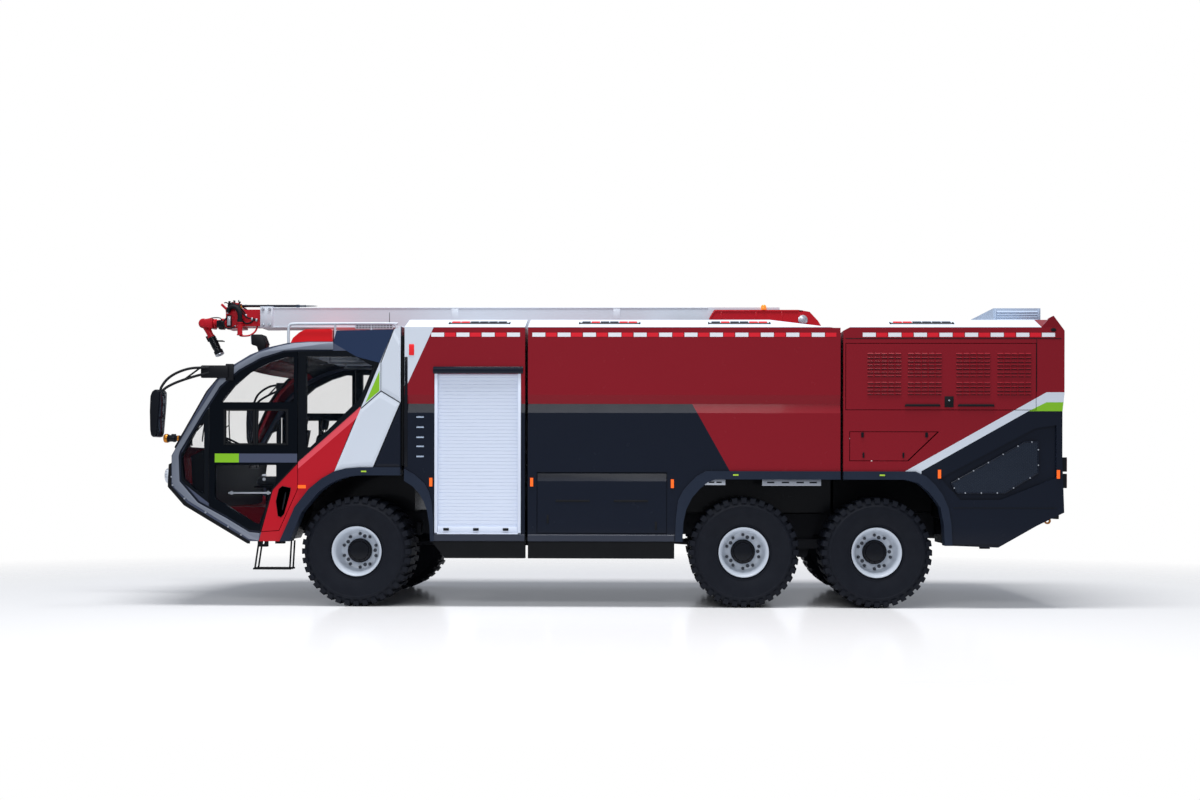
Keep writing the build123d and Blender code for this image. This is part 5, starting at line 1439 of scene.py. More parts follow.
@dataclass
class Boom(Part):
    """The outer section's collar and flanges, and the pipes along its right side."""

    front: float = -1.596
    rear: float = 4.35
    side: float = 0.160

    def build(self) -> None:
        """Builds what rides on the outer section."""
        plates = Shape().slab([(self.front, 3.578), (-1.434, 3.578), (-1.434, 3.846), (self.front, 3.846)],
                              (-0.181, -0.172), 0.004)
        plates.finish("boom_collar_plates", self.palette.white, "boom_outer", Sides.BOTH)
        bolts = studs(Shape(), [(x, -0.181, z) for x in (-1.560, -1.470) for z in (3.606, 3.815)], Axis.Y, -1,
                      0.017)
        bolts.finish("boom_collar_bolts", self.palette.steel, "boom_outer", Sides.BOTH)
        strips = Shape()
        for z in (3.571, 3.824):
            strips.box((-1.428, self.rear), (-self.side - 0.0045, -self.side + 0.001), (z, z + 0.015), 0.002)
        for x in (0.95, 3.10):
            strips.box((x, x + 0.09), (-self.side - 0.0045, -self.side + 0.001), (3.586, 3.824), 0.002)
        strips.finish("boom_flanges", self.palette.white, "boom_outer", Sides.BOTH)
        pipes, clips = Shape(), Shape()
        for z, radius in ((3.700, 0.013), (3.738, 0.009)):
            pipes.pipe([(-1.40, 0.165, z), (-1.36, 0.181, z), (-1.30, 0.182, z), (4.22, 0.182, z),
                        (4.28, 0.181, z), (4.32, 0.165, z)], radius, 10, steps=3)
        clip = Shape().box((-0.016, 0.016), (0.158, 0.199), (3.680, 3.753), 0.004)
        clips.repeat(clip, GRID, Columns=9, Step=(0.68, 0, 0), Start=(-1.20, 0, 0))
        pipes.finish("boom_pipes", self.palette.steel, "boom_outer")
        clips.finish("boom_pipe_clips", self.palette.black, "boom_outer")
        pads = Shape()
        for z in (3.603, 3.790):
            pads.box((-1.606, -1.590), (-0.155, -0.110), (z, z + 0.03), 0.003)
        pads.finish("boom_wear_pads", self.palette.gold, "boom_outer", Sides.BOTH)


@dataclass
class BoomHead(Part):
    """Plates, valve gear and hoses on the inner section's head."""

    side_plate: Outline = (
        (-2.060, 3.580), (-1.872, 3.572), (-1.872, 3.838), (-1.915, 3.838), (-1.945, 3.815), (-2.060, 3.830))
    boss_spots: Outline = ((-1.975, 3.700), (-1.905, 3.640), (-1.905, 3.775))
    arm_outline: Outline = ((-2147, 3875), (-2130, 3900), (-2020, 3800), (-2034, 3770))
    drain_path: tuple[Place, ...] = (
        (-1.868, -0.185, 3.475), (-1.86, -0.185, 3.462), (-1.82, -0.182, 3.458), (-1.74, -0.172, 3.468),
        (-1.68, -0.14, 3.52), (-1.66, -0.10, 3.592))
    boss_profile: Outline = ((0, -0.166), (0.020, -0.166), (0.024, -0.162), (0.024, -0.150), (0, -0.150))
    rear_tab: Outline = ((-2064, 3830), (-2064, 3905), (-2040, 3905), (-1990, 3846), (-1990, 3830))
    side_tab: Outline = ((-1960, 3842), (-1960, 3870), (-1900, 3870), (-1880, 3842))
    plate_bolts: Outline = (
        (-2.045, 3.765), (-2.045, 3.812), (-1.890, 3.592), (-1.890, 3.820), (-1.940, 3.592))
    valve_blocks: tuple = (
        (-2.066, -2.000, -0.095, -0.020, 3.895), (-1.995, -1.940, -0.140, -0.070, 3.880),
        (-1.930, -1.880, -0.110, -0.065, 3.890), (-2.055, -1.985, 0.020, 0.075, 3.885))
    valve_stems: tuple[Place, ...] = (
        (-2.050, -0.060, 3.938), (-2.018, -0.040, 3.925), (-1.968, -0.110, 3.940), (-1.905, -0.085, 3.930))
    fitting_spots: tuple[Place, ...] = (
        (-1.872, -0.120, 3.875), (-1.985, 0.048, 3.905), (-2.030, 0.048, 3.905))
    long_lever: tuple[Place, ...] = ((-2.02, -0.10, 3.885), (-2.075, -0.13, 3.912), (-2.095, -0.14, 3.902))
    short_lever: tuple[Place, ...] = (
        (-1.905, -0.085, 3.905), (-1.905, -0.135, 3.932), (-1.890, -0.16, 3.935))
    hose_paths: tuple = (
        (((-2.035, -0.10, 3.87), (-2.03, -0.155, 3.90), (-1.97, -0.172, 3.885), (-1.90, -0.165, 3.86),
          (-1.84, -0.140, 3.80), (-1.80, -0.128, 3.74)), 0.009),
        (((-1.968, -0.125, 3.87), (-1.95, -0.165, 3.885), (-1.89, -0.178, 3.845), (-1.82, -0.155, 3.74),
          (-1.76, -0.137, 3.70), (-1.68, -0.137, 3.69)), 0.008),
        (((-2.03, 0.06, 3.87), (-1.99, 0.12, 3.90), (-1.90, 0.145, 3.86), (-1.82, 0.139, 3.78),
          (-1.70, 0.138, 3.74)), 0.010),
        (((-2.055, -0.172, 3.70), (-2.085, -0.178, 3.64), (-2.07, -0.182, 3.575), (-2.00, -0.180, 3.560),
          (-1.94, -0.172, 3.585)), 0.009),
        (((-1.84, -0.137, 3.66), (-1.80, -0.146, 3.63), (-1.74, -0.146, 3.64), (-1.70, -0.139, 3.67),
          (-1.64, -0.137, 3.68)), 0.009))
    clip_spots: tuple[Place, ...] = ((-1.72, -0.140, 3.69), (-1.80, -0.140, 3.735), (-1.66, -0.140, 3.675))
    main_hose: tuple[Place, ...] = (
        (-2.03, -0.183, 3.775), (-2.01, -0.187, 3.822), (-1.96, -0.190, 3.845), (-1.905, -0.190, 3.825),
        (-1.872, -0.190, 3.765), (-1.866, -0.188, 3.70), (-1.866, -0.186, 3.640))

    def plates(self) -> None:
        """Side plates, frame, bracket and bolts."""
        red = Shape().slab(self.side_plate, (-0.158, -0.150), 0.003)
        for x, z in self.boss_spots:
            red.turn(self.boss_profile, (x, 0, z), Axis.Y, 20)
        red.finish("head_side_plates", self.palette.red, "boom_inner", Sides.BOTH)
        red = Shape().slab(metres(self.arm_outline), (-0.130, -0.100), 0.004)
        red.box((-2.034, -1.99), (-0.135, -0.095), (3.770, 3.846), 0.004)
        red.slab(metres(self.rear_tab), (0.092, 0.104), 0.002)
        red.slab(metres(self.side_tab), (-0.140, -0.128), 0.002)
        red.drum(0.033, (-0.165, -0.005), (-1.868, -0.185, 3.635), Axis.Z, 24)
        red.drum(0.040, (-0.012, 0.0), (-1.868, -0.185, 3.64), Axis.Z, 24)
        red.drum(0.040, (-0.012, 0.0), (-1.868, -0.185, 3.48), Axis.Z, 24)
        red.box((-1.905, -1.835), (-0.170, -0.130), (3.575, 3.625), 0.004)
        red.pipe(self.drain_path, 0.012, 10)
        red.finish("head_pipework", self.palette.red, "boom_inner")
        dark = Shape().box((-2.050, -1.985), (-0.172, -0.157), (3.585, 3.735), 0.004)
        dark.box((-2.075, -2.062), (-0.115, 0.115), (3.585, 3.80), 0.003)
        dark.finish("head_frame", self.palette.black, "boom_inner")
        steel = Shape().box((-2.040, -1.998), (-0.176, -0.170), (3.600, 3.720), 0.003)
        studs(steel, [(x, -0.158, z) for x, z in self.plate_bolts], Axis.Y, -1, 0.009)
        studs(steel, [(x, -0.176, z) for x in (-2.032, -2.006) for z in (3.612, 3.708)], Axis.Y, -1, 0.005)
        steel.finish("head_bolts", self.palette.steel, "boom_inner")

    def valves(self) -> None:
        """Valve blocks, levers and fittings on top of the head."""
        block = Shape()
        for x0, x1, y0, y1, z1 in self.valve_blocks:
            block.box((x0, x1), (y0, y1), (3.842, z1), 0.006)
        for x, y, z in self.valve_stems:
            block.turn([(0.0, 3.86), (0.008, 3.86), (0.008, z - 0.018), (0.016, z - 0.014),
                        (0.016, z - 0.004), (0.012, z), (0.0, z)], (x, y, 0), Axis.Z, 12)
        block.tube(self.long_lever, 0.007, 8)
        block.tube(self.short_lever, 0.006, 8)
        block.finish("head_valves", self.palette.gloss, "boom_inner")
        pale = Shape()
        for x, y, z in self.fitting_spots:
            pale.turn([(0.0, 3.84), (0.014, 3.84), (0.014, z - 0.02), (0.010, z - 0.016), (0.010, z),
                       (0.0, z)], (x, y, 0), Axis.Z, 12)
        studs(pale, [(-2.068, y, z) for y in (-0.135, 0.135) for z in (3.60, 3.80)], Axis.X, -1, 0.009)
        pale.finish("head_fittings", self.palette.gold, "boom_inner")

    def hoses(self) -> None:
        """The thick hose over the head's side and the thin ones round it."""
        hose = Shape().pipe(self.main_hose, 0.030, 14, steps=6)
        hose.drum(0.036, (0.0, 0.045), (-1.866, -0.186, 3.640), Axis.Z, 16)
        for path, radius in self.hose_paths:
            hose.pipe(path, radius, 8)
        hose.finish("head_hoses", self.palette.hose, "boom_inner")
        clips = Shape()
        for x, y, z in self.clip_spots:
            clips.box(about(x, 0.012), (y - 0.010, y + 0.006), about(z, 0.018), 0.003)
        clips.finish("head_hose_clips", self.palette.steel, "boom_inner")

    def build(self) -> None:
        """Builds the head."""
        self.plates()
        self.valves()
        self.hoses()


@dataclass
class Lance(Part):
    """The piercing lance: hub, tube, joint and fine tip, on its pin."""

    pivot: tuple[float, float, float] = (-1.960, 0.0, 3.880)
    hub_profile: Outline = (
        (0.0, -0.060), (0.0148, -0.060), (0.0148, -0.038), (0.0195, -0.036), (0.0195, 0.036),
        (0.0148, 0.038), (0.0148, 0.060), (0.0, 0.060))
    tip_profile: Outline = (
        (0.0, 0.790), (0.017, 0.790), (0.0196, 0.796), (0.0196, 0.832), (0.013, 0.842), (0.012, 0.905),
        (0.0145, 0.909), (0.0145, 0.918), (0.010, 0.922), (0.006, 1.045), (0.0015, 1.080), (0.0, 1.080))

    def build(self) -> None:
        """Builds the lance."""
        origin = Vector(self.pivot)
        hub = Shape().turn(self.hub_profile, origin, Axis.Y, 28)
        hub.drum(0.0165, (0.0, 0.795), origin, Axis.X, 20)
        hub.finish("lance_tube", self.palette.graphite, "lance", replaces=("piercing_lance",))
        tip = Shape().turn(self.tip_profile, origin, Axis.X, 20)
        for x in (0.10, 0.40):
            tip.drum(0.0192, (x, x + 0.02), origin, Axis.X, 20)
        tip.finish("lance_tip", self.palette.mesh, "lance")


@dataclass
class LiftCylinders(Part):
    """Lift cylinders on both sides of the boom, and the turret they stand on."""

    foot: Vector = Vector((4.760, -0.310, 3.530))
    eye: Vector = Vector((3.650, -0.310, 3.600))
    pin: Vector = Vector((5.600, 0.0, 3.670))
    slew_x: float = 5.15
    eye_profile: Outline = (
        (0.0245, -0.055), (0.040, -0.055), (0.046, -0.048), (0.046, 0.048), (0.040, 0.055), (0.0245, 0.055))
    eye_pin: Outline = ((0.0, -0.067), (0.020, -0.067), (0.024, -0.062), (0.024, 0.058), (0.0, 0.058))
    barrel_profile: Outline = (
        (0.0, 0.042), (0.040, 0.044), (0.050, 0.056), (0.050, 0.084), (0.0475, 0.088), (0.0475, 0.800),
        (0.052, 0.806), (0.052, 0.872), (0.0495, 0.878), (0.0495, 0.896), (0.044, 0.900), (0.031, 0.900),
        (0.031, 0.860), (0.0, 0.860))
    port_pipe: tuple[Place, ...] = (
        (0.77, 0.030, -0.038), (0.74, 0.044, -0.024), (0.66, 0.0475, -0.018), (0.24, 0.0475, -0.018),
        (0.17, 0.044, -0.024), (0.135, 0.030, -0.038))
    pin_cap: Outline = ((0.0, -0.232), (0.050, -0.232), (0.062, -0.226), (0.062, -0.214), (0.0, -0.214))
    lamp_profile: Outline = (
        (0.0, 0.0), (0.036, 0.0), (0.038, 0.012), (0.034, 0.050), (0.022, 0.066), (0.0, 0.070))
    rib_outline: Outline = (
        (4378, 3574), (4378, 3695), (4436, 3792), (5538, 3792), (5538, 3778), (4444, 3778), (4392, 3690),
        (4392, 3574))

    def cylinders(self) -> None:
        """Barrels with glands and ports, chrome rods and their eyes."""
        move = aimed(self.foot, self.eye - self.foot)
        reach = (self.eye - self.foot).length
        barrel = Shape().take(Shape().turn(self.barrel_profile, Vector(), Axis.X, 36), move)
        barrel.turn(self.eye_profile, self.foot, Axis.Y, 32, closed=True)
        barrel.finish("lift_cylinder_barrels", self.palette.graphite, "lift_barrels", Sides.BOTH,
                      replaces=("lift_barrels",))
        ports = Shape()
        for x in (0.135, 0.770):
            ports.take(Shape().box(about(x, 0.014), (-0.015, 0.015), (-0.052, -0.040), 0.003), move)
        ports.take(Shape().pipe(self.port_pipe, 0.005, 8, steps=3), move)
        ports.finish("lift_cylinder_ports", self.palette.steel, "lift_barrels", Sides.BOTH)
        rod = Shape().take(Shape().turn([(0.0, 0.140), (0.0335, 0.142), (0.0335, 0.224), (0.0295, 0.230),
                                         (0.0295, reach - 0.060), (0.034, reach - 0.052),
                                         (0.034, reach - 0.032), (0.0, reach - 0.030)],
                                        Vector(), Axis.X, 32), move)
        rod.turn(self.eye_profile, self.eye, Axis.Y, 32, closed=True)
        rod.turn(self.eye_pin, self.eye, Axis.Y, 24)
        rod.finish("lift_cylinder_rods", self.palette.chrome, "lift_rods", Sides.BOTH,
                   replaces=("lift_rods",))

    def turret(self) -> None:
        """Pin caps, slew bolts, lamp and hoses on the turret."""
        caps = Shape().turn(self.pin_cap, self.pin, Axis.Y, 28)
        caps.finish("turret_pin_caps", self.palette.steel, "turret", Sides.BOTH)
        ring = Shape()
        head = studs(Shape(), [(0.0, 0.0, 0.0)], Axis.Z, 1, 0.012)
        for c, s in turns(20, 0.5):
            ring.take(head, Matrix.Translation((self.slew_x + 0.452 * c, 0.452 * s, 3.4805)))
        studs(ring, [(self.pin.x + 0.046 * math.cos(a), -0.232, self.pin.z + 0.046 * math.sin(a))
                     for a in (0.5, 1.6, 2.6, 3.7, 4.7, 5.8)], Axis.Y, -1, 0.006)
        ring.finish("turret_bolts", self.palette.steel, "turret")
        ribs = Shape()
        for x in (4.52, 4.98, 5.32):
            ribs.box((x, x + 0.012), (-0.2225, -0.2145), (3.50, 3.790), 0.002)
        ribs.slab(metres(self.rib_outline), (-0.2225, -0.2145), 0.002)
        ribs.box((5.548, 5.60), (-0.215, -0.190), (3.775, 3.796), 0.003)
        ribs.finish("turret_ribs", self.palette.red, "turret", Sides.BOTH)
        hose = Shape()
        for dz in (0.0, 0.035):
            hose.pipe([(5.02, -0.217, 3.60 + dz), (4.98, -0.245, 3.60 + dz), (4.90, -0.253, 3.58 + dz),
                       (4.84, -0.250, 3.555 + dz), (4.80, -0.222, 3.55 + dz)], 0.011, 8)
        hose.finish("turret_hoses", self.palette.hose, "turret", Sides.BOTH)
        lamp = Shape().turn(self.lamp_profile, (5.086, -0.197, 3.802), Axis.Z, 24)
        lamp.finish("turret_lamp", self.palette.amber_dome, "turret")

    def build(self) -> None:
        """Builds the cylinders and the turret's fittings."""
        self.cylinders()
        self.turret()


@dataclass
class Monitors(Part):
    """The monitor on the boom's head and the one on the nose."""

    head_pivot: Vector = Vector((-2.400, 0.0, 3.640))
    head_aim: Vector = Vector((0.439, 0.0, -0.898))
    nose_pivot: Vector = Vector((-2.640, 0.0, 2.100))
    pipe_profile: Outline = (
        (0.0, -2.0695), (0.078, -2.0695), (0.078, -2.092), (0.060, -2.098), (0.056, -2.130), (0.072, -2.134),
        (0.072, -2.168), (0.058, -2.176), (0.054, -2.238), (0.066, -2.244), (0.066, -2.262), (0.054, -2.268),
        (0.054, -2.296), (0.0, -2.296))
    gear_profile: Outline = ((0.0, -0.105), (0.022, -0.105), (0.026, -0.098), (0.026, -0.030), (0.0, -0.030))
    gear_cable: tuple[Place, ...] = (
        (-2.14, -0.08, 3.665), (-2.16, -0.098, 3.705), (-2.24, -0.098, 3.712), (-2.31, -0.095, 3.695),
        (-2.33, -0.09, 3.66))
    hinge_profile: Outline = (
        (0.0, -0.104), (0.0195, -0.104), (0.0195, -0.071), (0.060, -0.070), (0.066, -0.064), (0.066, 0.064),
        (0.060, 0.070), (0.0195, 0.071), (0.0195, 0.104), (0.0, 0.104))
    neck_profile: Outline = (
        (0.0, 0.040), (0.050, 0.042), (0.046, 0.075), (0.041, 0.140), (0.041, 0.180), (0.050, 0.184),
        (0.050, 0.204), (0.0, 0.204))
    ring_profile: Outline = (
        (0.0, 0.380), (0.034, 0.380), (0.042, 0.452), (0.0615, 0.452), (0.0615, 0.462), (0.056, 0.468),
        (0.030, 0.470), (0.026, 0.420), (0.0, 0.419))
    column_profile: Outline = (
        (0.0, 1.9005), (0.050, 1.9005), (0.050, 1.918), (0.042, 1.924), (0.042, 1.955), (0.048, 1.960),
        (0.048, 1.985), (0.040, 1.992), (0.040, 2.004), (0.0, 2.004))
    nose_hinge: Outline = (
        (0.0, -0.0835), (0.0155, -0.0835), (0.0155, -0.057), (0.042, -0.056), (0.048, -0.050),
        (0.048, 0.050), (0.042, 0.056), (0.0155, 0.057), (0.0155, 0.0835), (0.0, 0.0835))
    barrel_profile: Outline = (
        (0.0, -0.036), (0.038, -0.038), (0.038, -0.145), (0.050, -0.155), (0.052, -0.180), (0.046, -0.186),
        (0.046, -0.235), (0.052, -0.242), (0.052, -0.258), (0.0, -0.258))
    tip_ring: Outline = (
        (0.030, -0.300), (0.030, -0.252), (0.056, -0.254), (0.060, -0.262), (0.060, -0.290), (0.054, -0.303),
        (0.040, -0.303))
    body_ring: Outline = ((0.036, -0.100), (0.041, -0.100), (0.041, -0.122), (0.036, -0.122))
    tip_cone: Outline = ((0.0, -0.252), (0.018, -0.252), (0.022, -0.285), (0.0, -0.286))
    bracket_bolts: Outline = ((-2.53, 1.745), (-2.53, 1.835), (-2.58, 1.86))

    def elbow(self) -> None:
        """The red pipe with flanges and its fork, with gearbox and bolts."""
        pipe = Shape().turn(self.pipe_profile, (0, 0, 3.640), Axis.X, 40)
        for y in (-0.104, 0.077):
            pipe.slab(stadium((-2.400, 3.640), 0.049, [(-2.290, 3.572), (-2.290, 3.708)]), (y, y + 0.027),
                      0.005)
            pipe.drum(0.034, (0.0, 0.006), (-2.400, y - 0.001 if y < 0 else y + 0.022, 3.640), Axis.Y, 20)
        pipe.box((-2.302, -2.272), (-0.104, 0.104), (3.574, 3.706), 0.006)
        pipe.finish("monitor_elbow_pipe", self.palette.red, "monitor_elbow", replaces=("monitor_elbow",))
        gear = Shape().box((-2.215, -2.120), (-0.100, -0.045), (3.585, 3.675), 0.010)
        gear.box((-2.200, -2.130), (-0.060, 0.030), (3.562, 3.590), 0.008)
        gear.turn(self.gear_profile, (-2.170, 0.0, 3.655), Axis.Y, 20)
        gear.pipe(self.gear_cable, 0.007, 8)
        gear.finish("monitor_elbow_gear", self.palette.gloss, "monitor_elbow")
        bolts = studs(Shape(), [(-2.134, 0.064 * c, 3.640 + 0.064 * s) for c, s in turns(8, 0.5)], Axis.X, 1,
                      0.006)
        bolts.finish("monitor_elbow_bolts", self.palette.steel, "monitor_elbow")

    def nozzle(self) -> None:
        """The hanging nozzle: hinge drum, red neck, ribbed barrel, tip ring and handle."""
        move = aimed(self.head_pivot, self.head_aim)
        red = Shape().turn(self.hinge_profile, self.head_pivot, Axis.Y, 32)
        red.take(Shape().turn(self.neck_profile, Vector(), Axis.X, 28), move)
        red.finish("monitor_nozzle_neck", self.palette.red, "monitor_nozzle", replaces=("monitor_nozzle",))
        ribs = [(0.0, 0.200), (0.049, 0.200), (0.053, 0.206)]
        for i in range(6):
            x = 0.212 + i * 0.024
            ribs += [(0.055, x), (0.055, x + 0.013), (0.050, x + 0.015), (0.050, x + 0.022)]
        ribs += [(0.054, 0.362), (0.048, 0.372), (0.050, 0.395), (0.060, 0.402), (0.060, 0.438),
                 (0.056, 0.455), (0.040, 0.456), (0.036, 0.380), (0.0, 0.378)]
        dark = Shape().take(Shape().turn(ribs, Vector(), Axis.X, 32), move)
        for y in (-0.030, 0.030):
            dark.take(Shape().rod((0.275, y, 0.040), (0.315, y, 0.118), 0.008, 10), move)
        dark.take(Shape().rod((0.315, -0.045, 0.118), (0.315, 0.045, 0.118), 0.009, 10), move)
        dark.take(Shape().box((0.16, 0.24), (-0.018, 0.018), (-0.068, -0.042), 0.006), move)
        dark.finish("monitor_nozzle_barrel", self.palette.gloss, "monitor_nozzle")
        ring = Shape().take(Shape().turn(self.ring_profile, Vector(), Axis.X, 32), move)
        ring.finish("monitor_nozzle_ring", self.palette.steel, "monitor_nozzle")

    def bumper(self) -> None:
        """The monitor on the nose: turning column with a fork, ringed nozzle and bracket bolts."""
        x, _, z = self.nose_pivot
        column = Shape().turn(self.column_profile, (x, 0, 0), Axis.Z, 32)
        column.box(about(x, 0.048), (-0.084, 0.084), (2.001, 2.028), 0.006)
        for y in (-0.0845, 0.0605):
            column.slab(stadium((x, z), 0.044, [(x - 0.044, 2.010), (x + 0.044, 2.010)]), (y, y + 0.024),
                        0.004)
        column.box((x + 0.006, x + 0.049), (-0.040, 0.040), (1.93, 1.995), 0.008)
        column.finish("bumper_monitor_column", self.palette.gloss, "bumper_column",
                      replaces=("bumper_column",))
        nozzle = Shape().turn(self.nose_hinge, self.nose_pivot, Axis.Y, 28)
        nozzle.turn(self.barrel_profile, self.nose_pivot, Axis.X, 32)
        nozzle.box((x - 0.21, x - 0.15), (-0.014, 0.014), (2.146, 2.159), 0.004)
        nozzle.finish("bumper_monitor_nozzle", self.palette.gloss, "bumper_nozzle",
                      replaces=("bumper_nozzle",))
        gold = Shape().turn(self.tip_ring, self.nose_pivot, Axis.X, 32, closed=True)
        gold.turn(self.body_ring, self.nose_pivot, Axis.X, 28, closed=True)
        gold.turn(self.tip_cone, self.nose_pivot, Axis.X, 20)
        gold.finish("bumper_monitor_rings", self.palette.gold, "bumper_nozzle")
        bolts = studs(Shape(), [(-2.66, y, 1.90) for y in (-0.055, 0.055)], Axis.Z, 1, 0.007)
        studs(bolts, [(a, -0.070, b) for a, b in self.bracket_bolts], Axis.Y, -1, 0.009)
        bolts.finish("bumper_bracket_bolts", self.palette.steel)

    def build(self) -> None:
        """Builds both monitors."""
        self.elbow()
        self.nozzle()
        self.bumper()


# ------------------------------------------------------------------------------------------------- roof
def blocks(rows: Iterable[Row], bevel: float = 0.004) -> Shape:
    """Rounded boxes from a table of (x0, x1, y0, y1, z0, z1)."""
    shape = Shape()
    for x0, x1, y0, y1, z0, z1 in rows:
        shape.box((x0, x1), (y0, y1), (z0, z1), bevel)
    return shape


@dataclass
class Roof(Part):
    """Work lamps, rails, hatches, walkways, louvres and the exhaust's slats."""

    lamp_y: Span = (-1.158, -1.002)
    deck: float = 3.420
    top: float = 3.555
    lamp_shell: Outline = (
        (-1408, 3376), (-1266, 3376), (-1217, 3252), (-1246, 3128), (-1304, 3128), (-1335, 3228),
        (-1400, 3246))
    lamp_glass: Outline = ((-1415, 3366), (-1407, 3256), (-1398, 3256), (-1406, 3366))
    lamp_fin: Outline = ((-1272, 3368), (-1256, 3368), (-1211, 3254), (-1226, 3254))
    rail_path: tuple[Place, ...] = (
        (-0.880, -1.330, 3.240), (-0.880, -1.330, 3.42), (-0.865, -1.330, 3.470), (-0.82, -1.330, 3.486),
        (-0.60, -1.330, 3.488), (0.38, -1.330, 3.489), (0.44, -1.330, 3.475), (0.461, -1.330, 3.44),
        (0.463, -1.330, 3.36))
    hatch_trim: tuple[Row, ...] = (
        (-0.17, 0.42, 0.30, 1.00, 3.378, 3.402), (-0.16, -0.13, 0.45, 0.53, 3.40, 3.420),
        (-0.16, -0.13, 0.77, 0.85, 3.40, 3.420))
    antenna_profile: Outline = (
        (0.0, 3.39), (0.045, 3.39), (0.045, 3.405), (0.02, 3.412), (0.006, 3.43), (0.003, 3.70), (0.0, 3.70))
    lid_profile: Outline = (
        (0.0, 0.052), (0.20, 0.048), (0.245, 0.036), (0.250, 0.020), (0.285, 0.018), (0.290, 0.0), (0.0, 0.0))
    vane_outline: Outline = ((0, 0), (0.038, 0), (0.030, 0.016), (0.012, 0.020))
    lid_bolt: Outline = ((0.0, 0.062), (0.013, 0.060), (0.013, 0.018), (0.0, 0.018))
    walkways: tuple = ((2.15, 5.05, -1.08, -0.56), (0.62, 2.05, -1.08, -0.36))
    louvre_frames: tuple = (
        (6.37, 6.40, -0.96, -0.16), (7.77, 7.80, -0.96, -0.16), (6.37, 7.80, -0.96, -0.93),
        (6.37, 7.80, -0.19, -0.16))
    slat_outline: Outline = ((-0.632, 0), (-0.620, 0.020), (-0.6185, 0.020), (-0.6185, -0.004))

    def work_lamps(self) -> None:
        """Housing, lens and cooling fins of each work lamp."""
        shell = Shape().slab(metres(self.lamp_shell), self.lamp_y, 0.010)
        shell.finish("work_lamp_housings", self.palette.black, sides=Sides.BOTH)
        lens = Shape().slab(metres(self.lamp_glass), (-1.148, -1.012), 0.003)
        lens.finish("work_lamp_lenses", self.palette.clear_high, sides=Sides.BOTH)
        fin = Shape().slab(metres(self.lamp_fin), (0.0, 0.008), 0.001)
        fins = Shape().repeat(fin, GRID, Columns=8, Step=(0, 0.0205, 0), Start=(0, -1.156, 0))
        fins.finish("work_lamp_fins", self.palette.black, sides=Sides.BOTH)

    def cab_top(self) -> None:
        """Roof rails with their slotted plates, and the roof hatch."""
        rails = Shape().pipe(self.rail_path, 0.017, 12)
        for x in (-0.30, 0.15):
            rails.rod((x, -1.330, 3.25), (x, -1.330, 3.485), 0.013, 10)
            rails.drum(0.032, (0.0, 0.008), (x, -1.330, 3.388 if x > -0.27 else 3.251), Axis.Z, 16)
        rails.box((-0.05, 0.42), (-1.337, -1.324), (3.420, 3.480), 0.003)
        rails.finish("roof_rail_tubes", self.palette.white, sides=Sides.BOTH, replaces=("roof_rails",))
        hole = Shape().box((0, 0.020), (-1.3385, -1.336), (0, 0.012), 0.0)
        holes = Shape().repeat(hole, GRID, Columns=12, Rows=2, Step=(0.038, 0, 0), Rise=(0, 0, 0.026),
                               Start=(-0.033, 0, 3.433))
        holes.finish("roof_rail_slots", self.palette.gasket, sides=Sides.BOTH)
        hatch = blocks([(-0.15, 0.40, 0.32, 0.98, 3.380, 3.414)], 0.012)
        hatch.finish("cab_roof_hatch", self.palette.graphite)
        trim = blocks(self.hatch_trim, 0.005)
        trim.turn(self.antenna_profile, (0.25, -0.75, 0), Axis.Z, 16)
        trim.finish("cab_roof_trim", self.palette.black)

    def decks(self) -> None:
        """Walkways, tank lids and the engine's roof louvres."""
        walk = blocks([(*row, self.deck, self.deck + 0.006) for row in self.walkways], 0.002)
        tread = Shape().box((0, 0.022), (-1.05, -0.59), (self.deck + 0.005, self.deck + 0.012), 0.003)
        walk.repeat(tread, GRID, Columns=36, Step=(0.08, 0, 0), Start=(2.19, 0, 0))
        walk.finish("roof_walkways", self.palette.steel, sides=Sides.BOTH)
        lids = Shape().turn(self.lid_profile, (3.30, -0.80, self.deck + 0.006), Axis.Z, 40)
        for c, s in turns(6, 0.9 / math.pi):
            lids.turn(self.lid_bolt, (3.30 + 0.265 * c, -0.80 + 0.265 * s, self.deck + 0.006), Axis.Z, 10)
        lids.box((3.26, 3.34), (-0.84, -0.76), (self.deck + 0.05, self.deck + 0.072), 0.01)
        lids.finish("tank_lids", self.palette.graphite, sides=Sides.BOTH)
        vane = Shape().slab(self.vane_outline, (-0.92, -0.20))
        vanes = Shape().repeat(vane, GRID, Columns=26, Step=(0.052, 0, 0), Start=(6.42, 0, self.top))
        vanes.finish("engine_roof_louvres", self.palette.black, sides=Sides.BOTH)
        border = blocks([(*row, self.top, self.top + 0.022) for row in self.louvre_frames])
        studs(border, [(x, y, self.top + 0.022) for x in (6.385, 6.85, 7.32, 7.785)
                       for y in (-0.945, -0.175)], Axis.Z, 1, 0.008)
        border.finish("engine_roof_frames", self.palette.white, sides=Sides.BOTH)

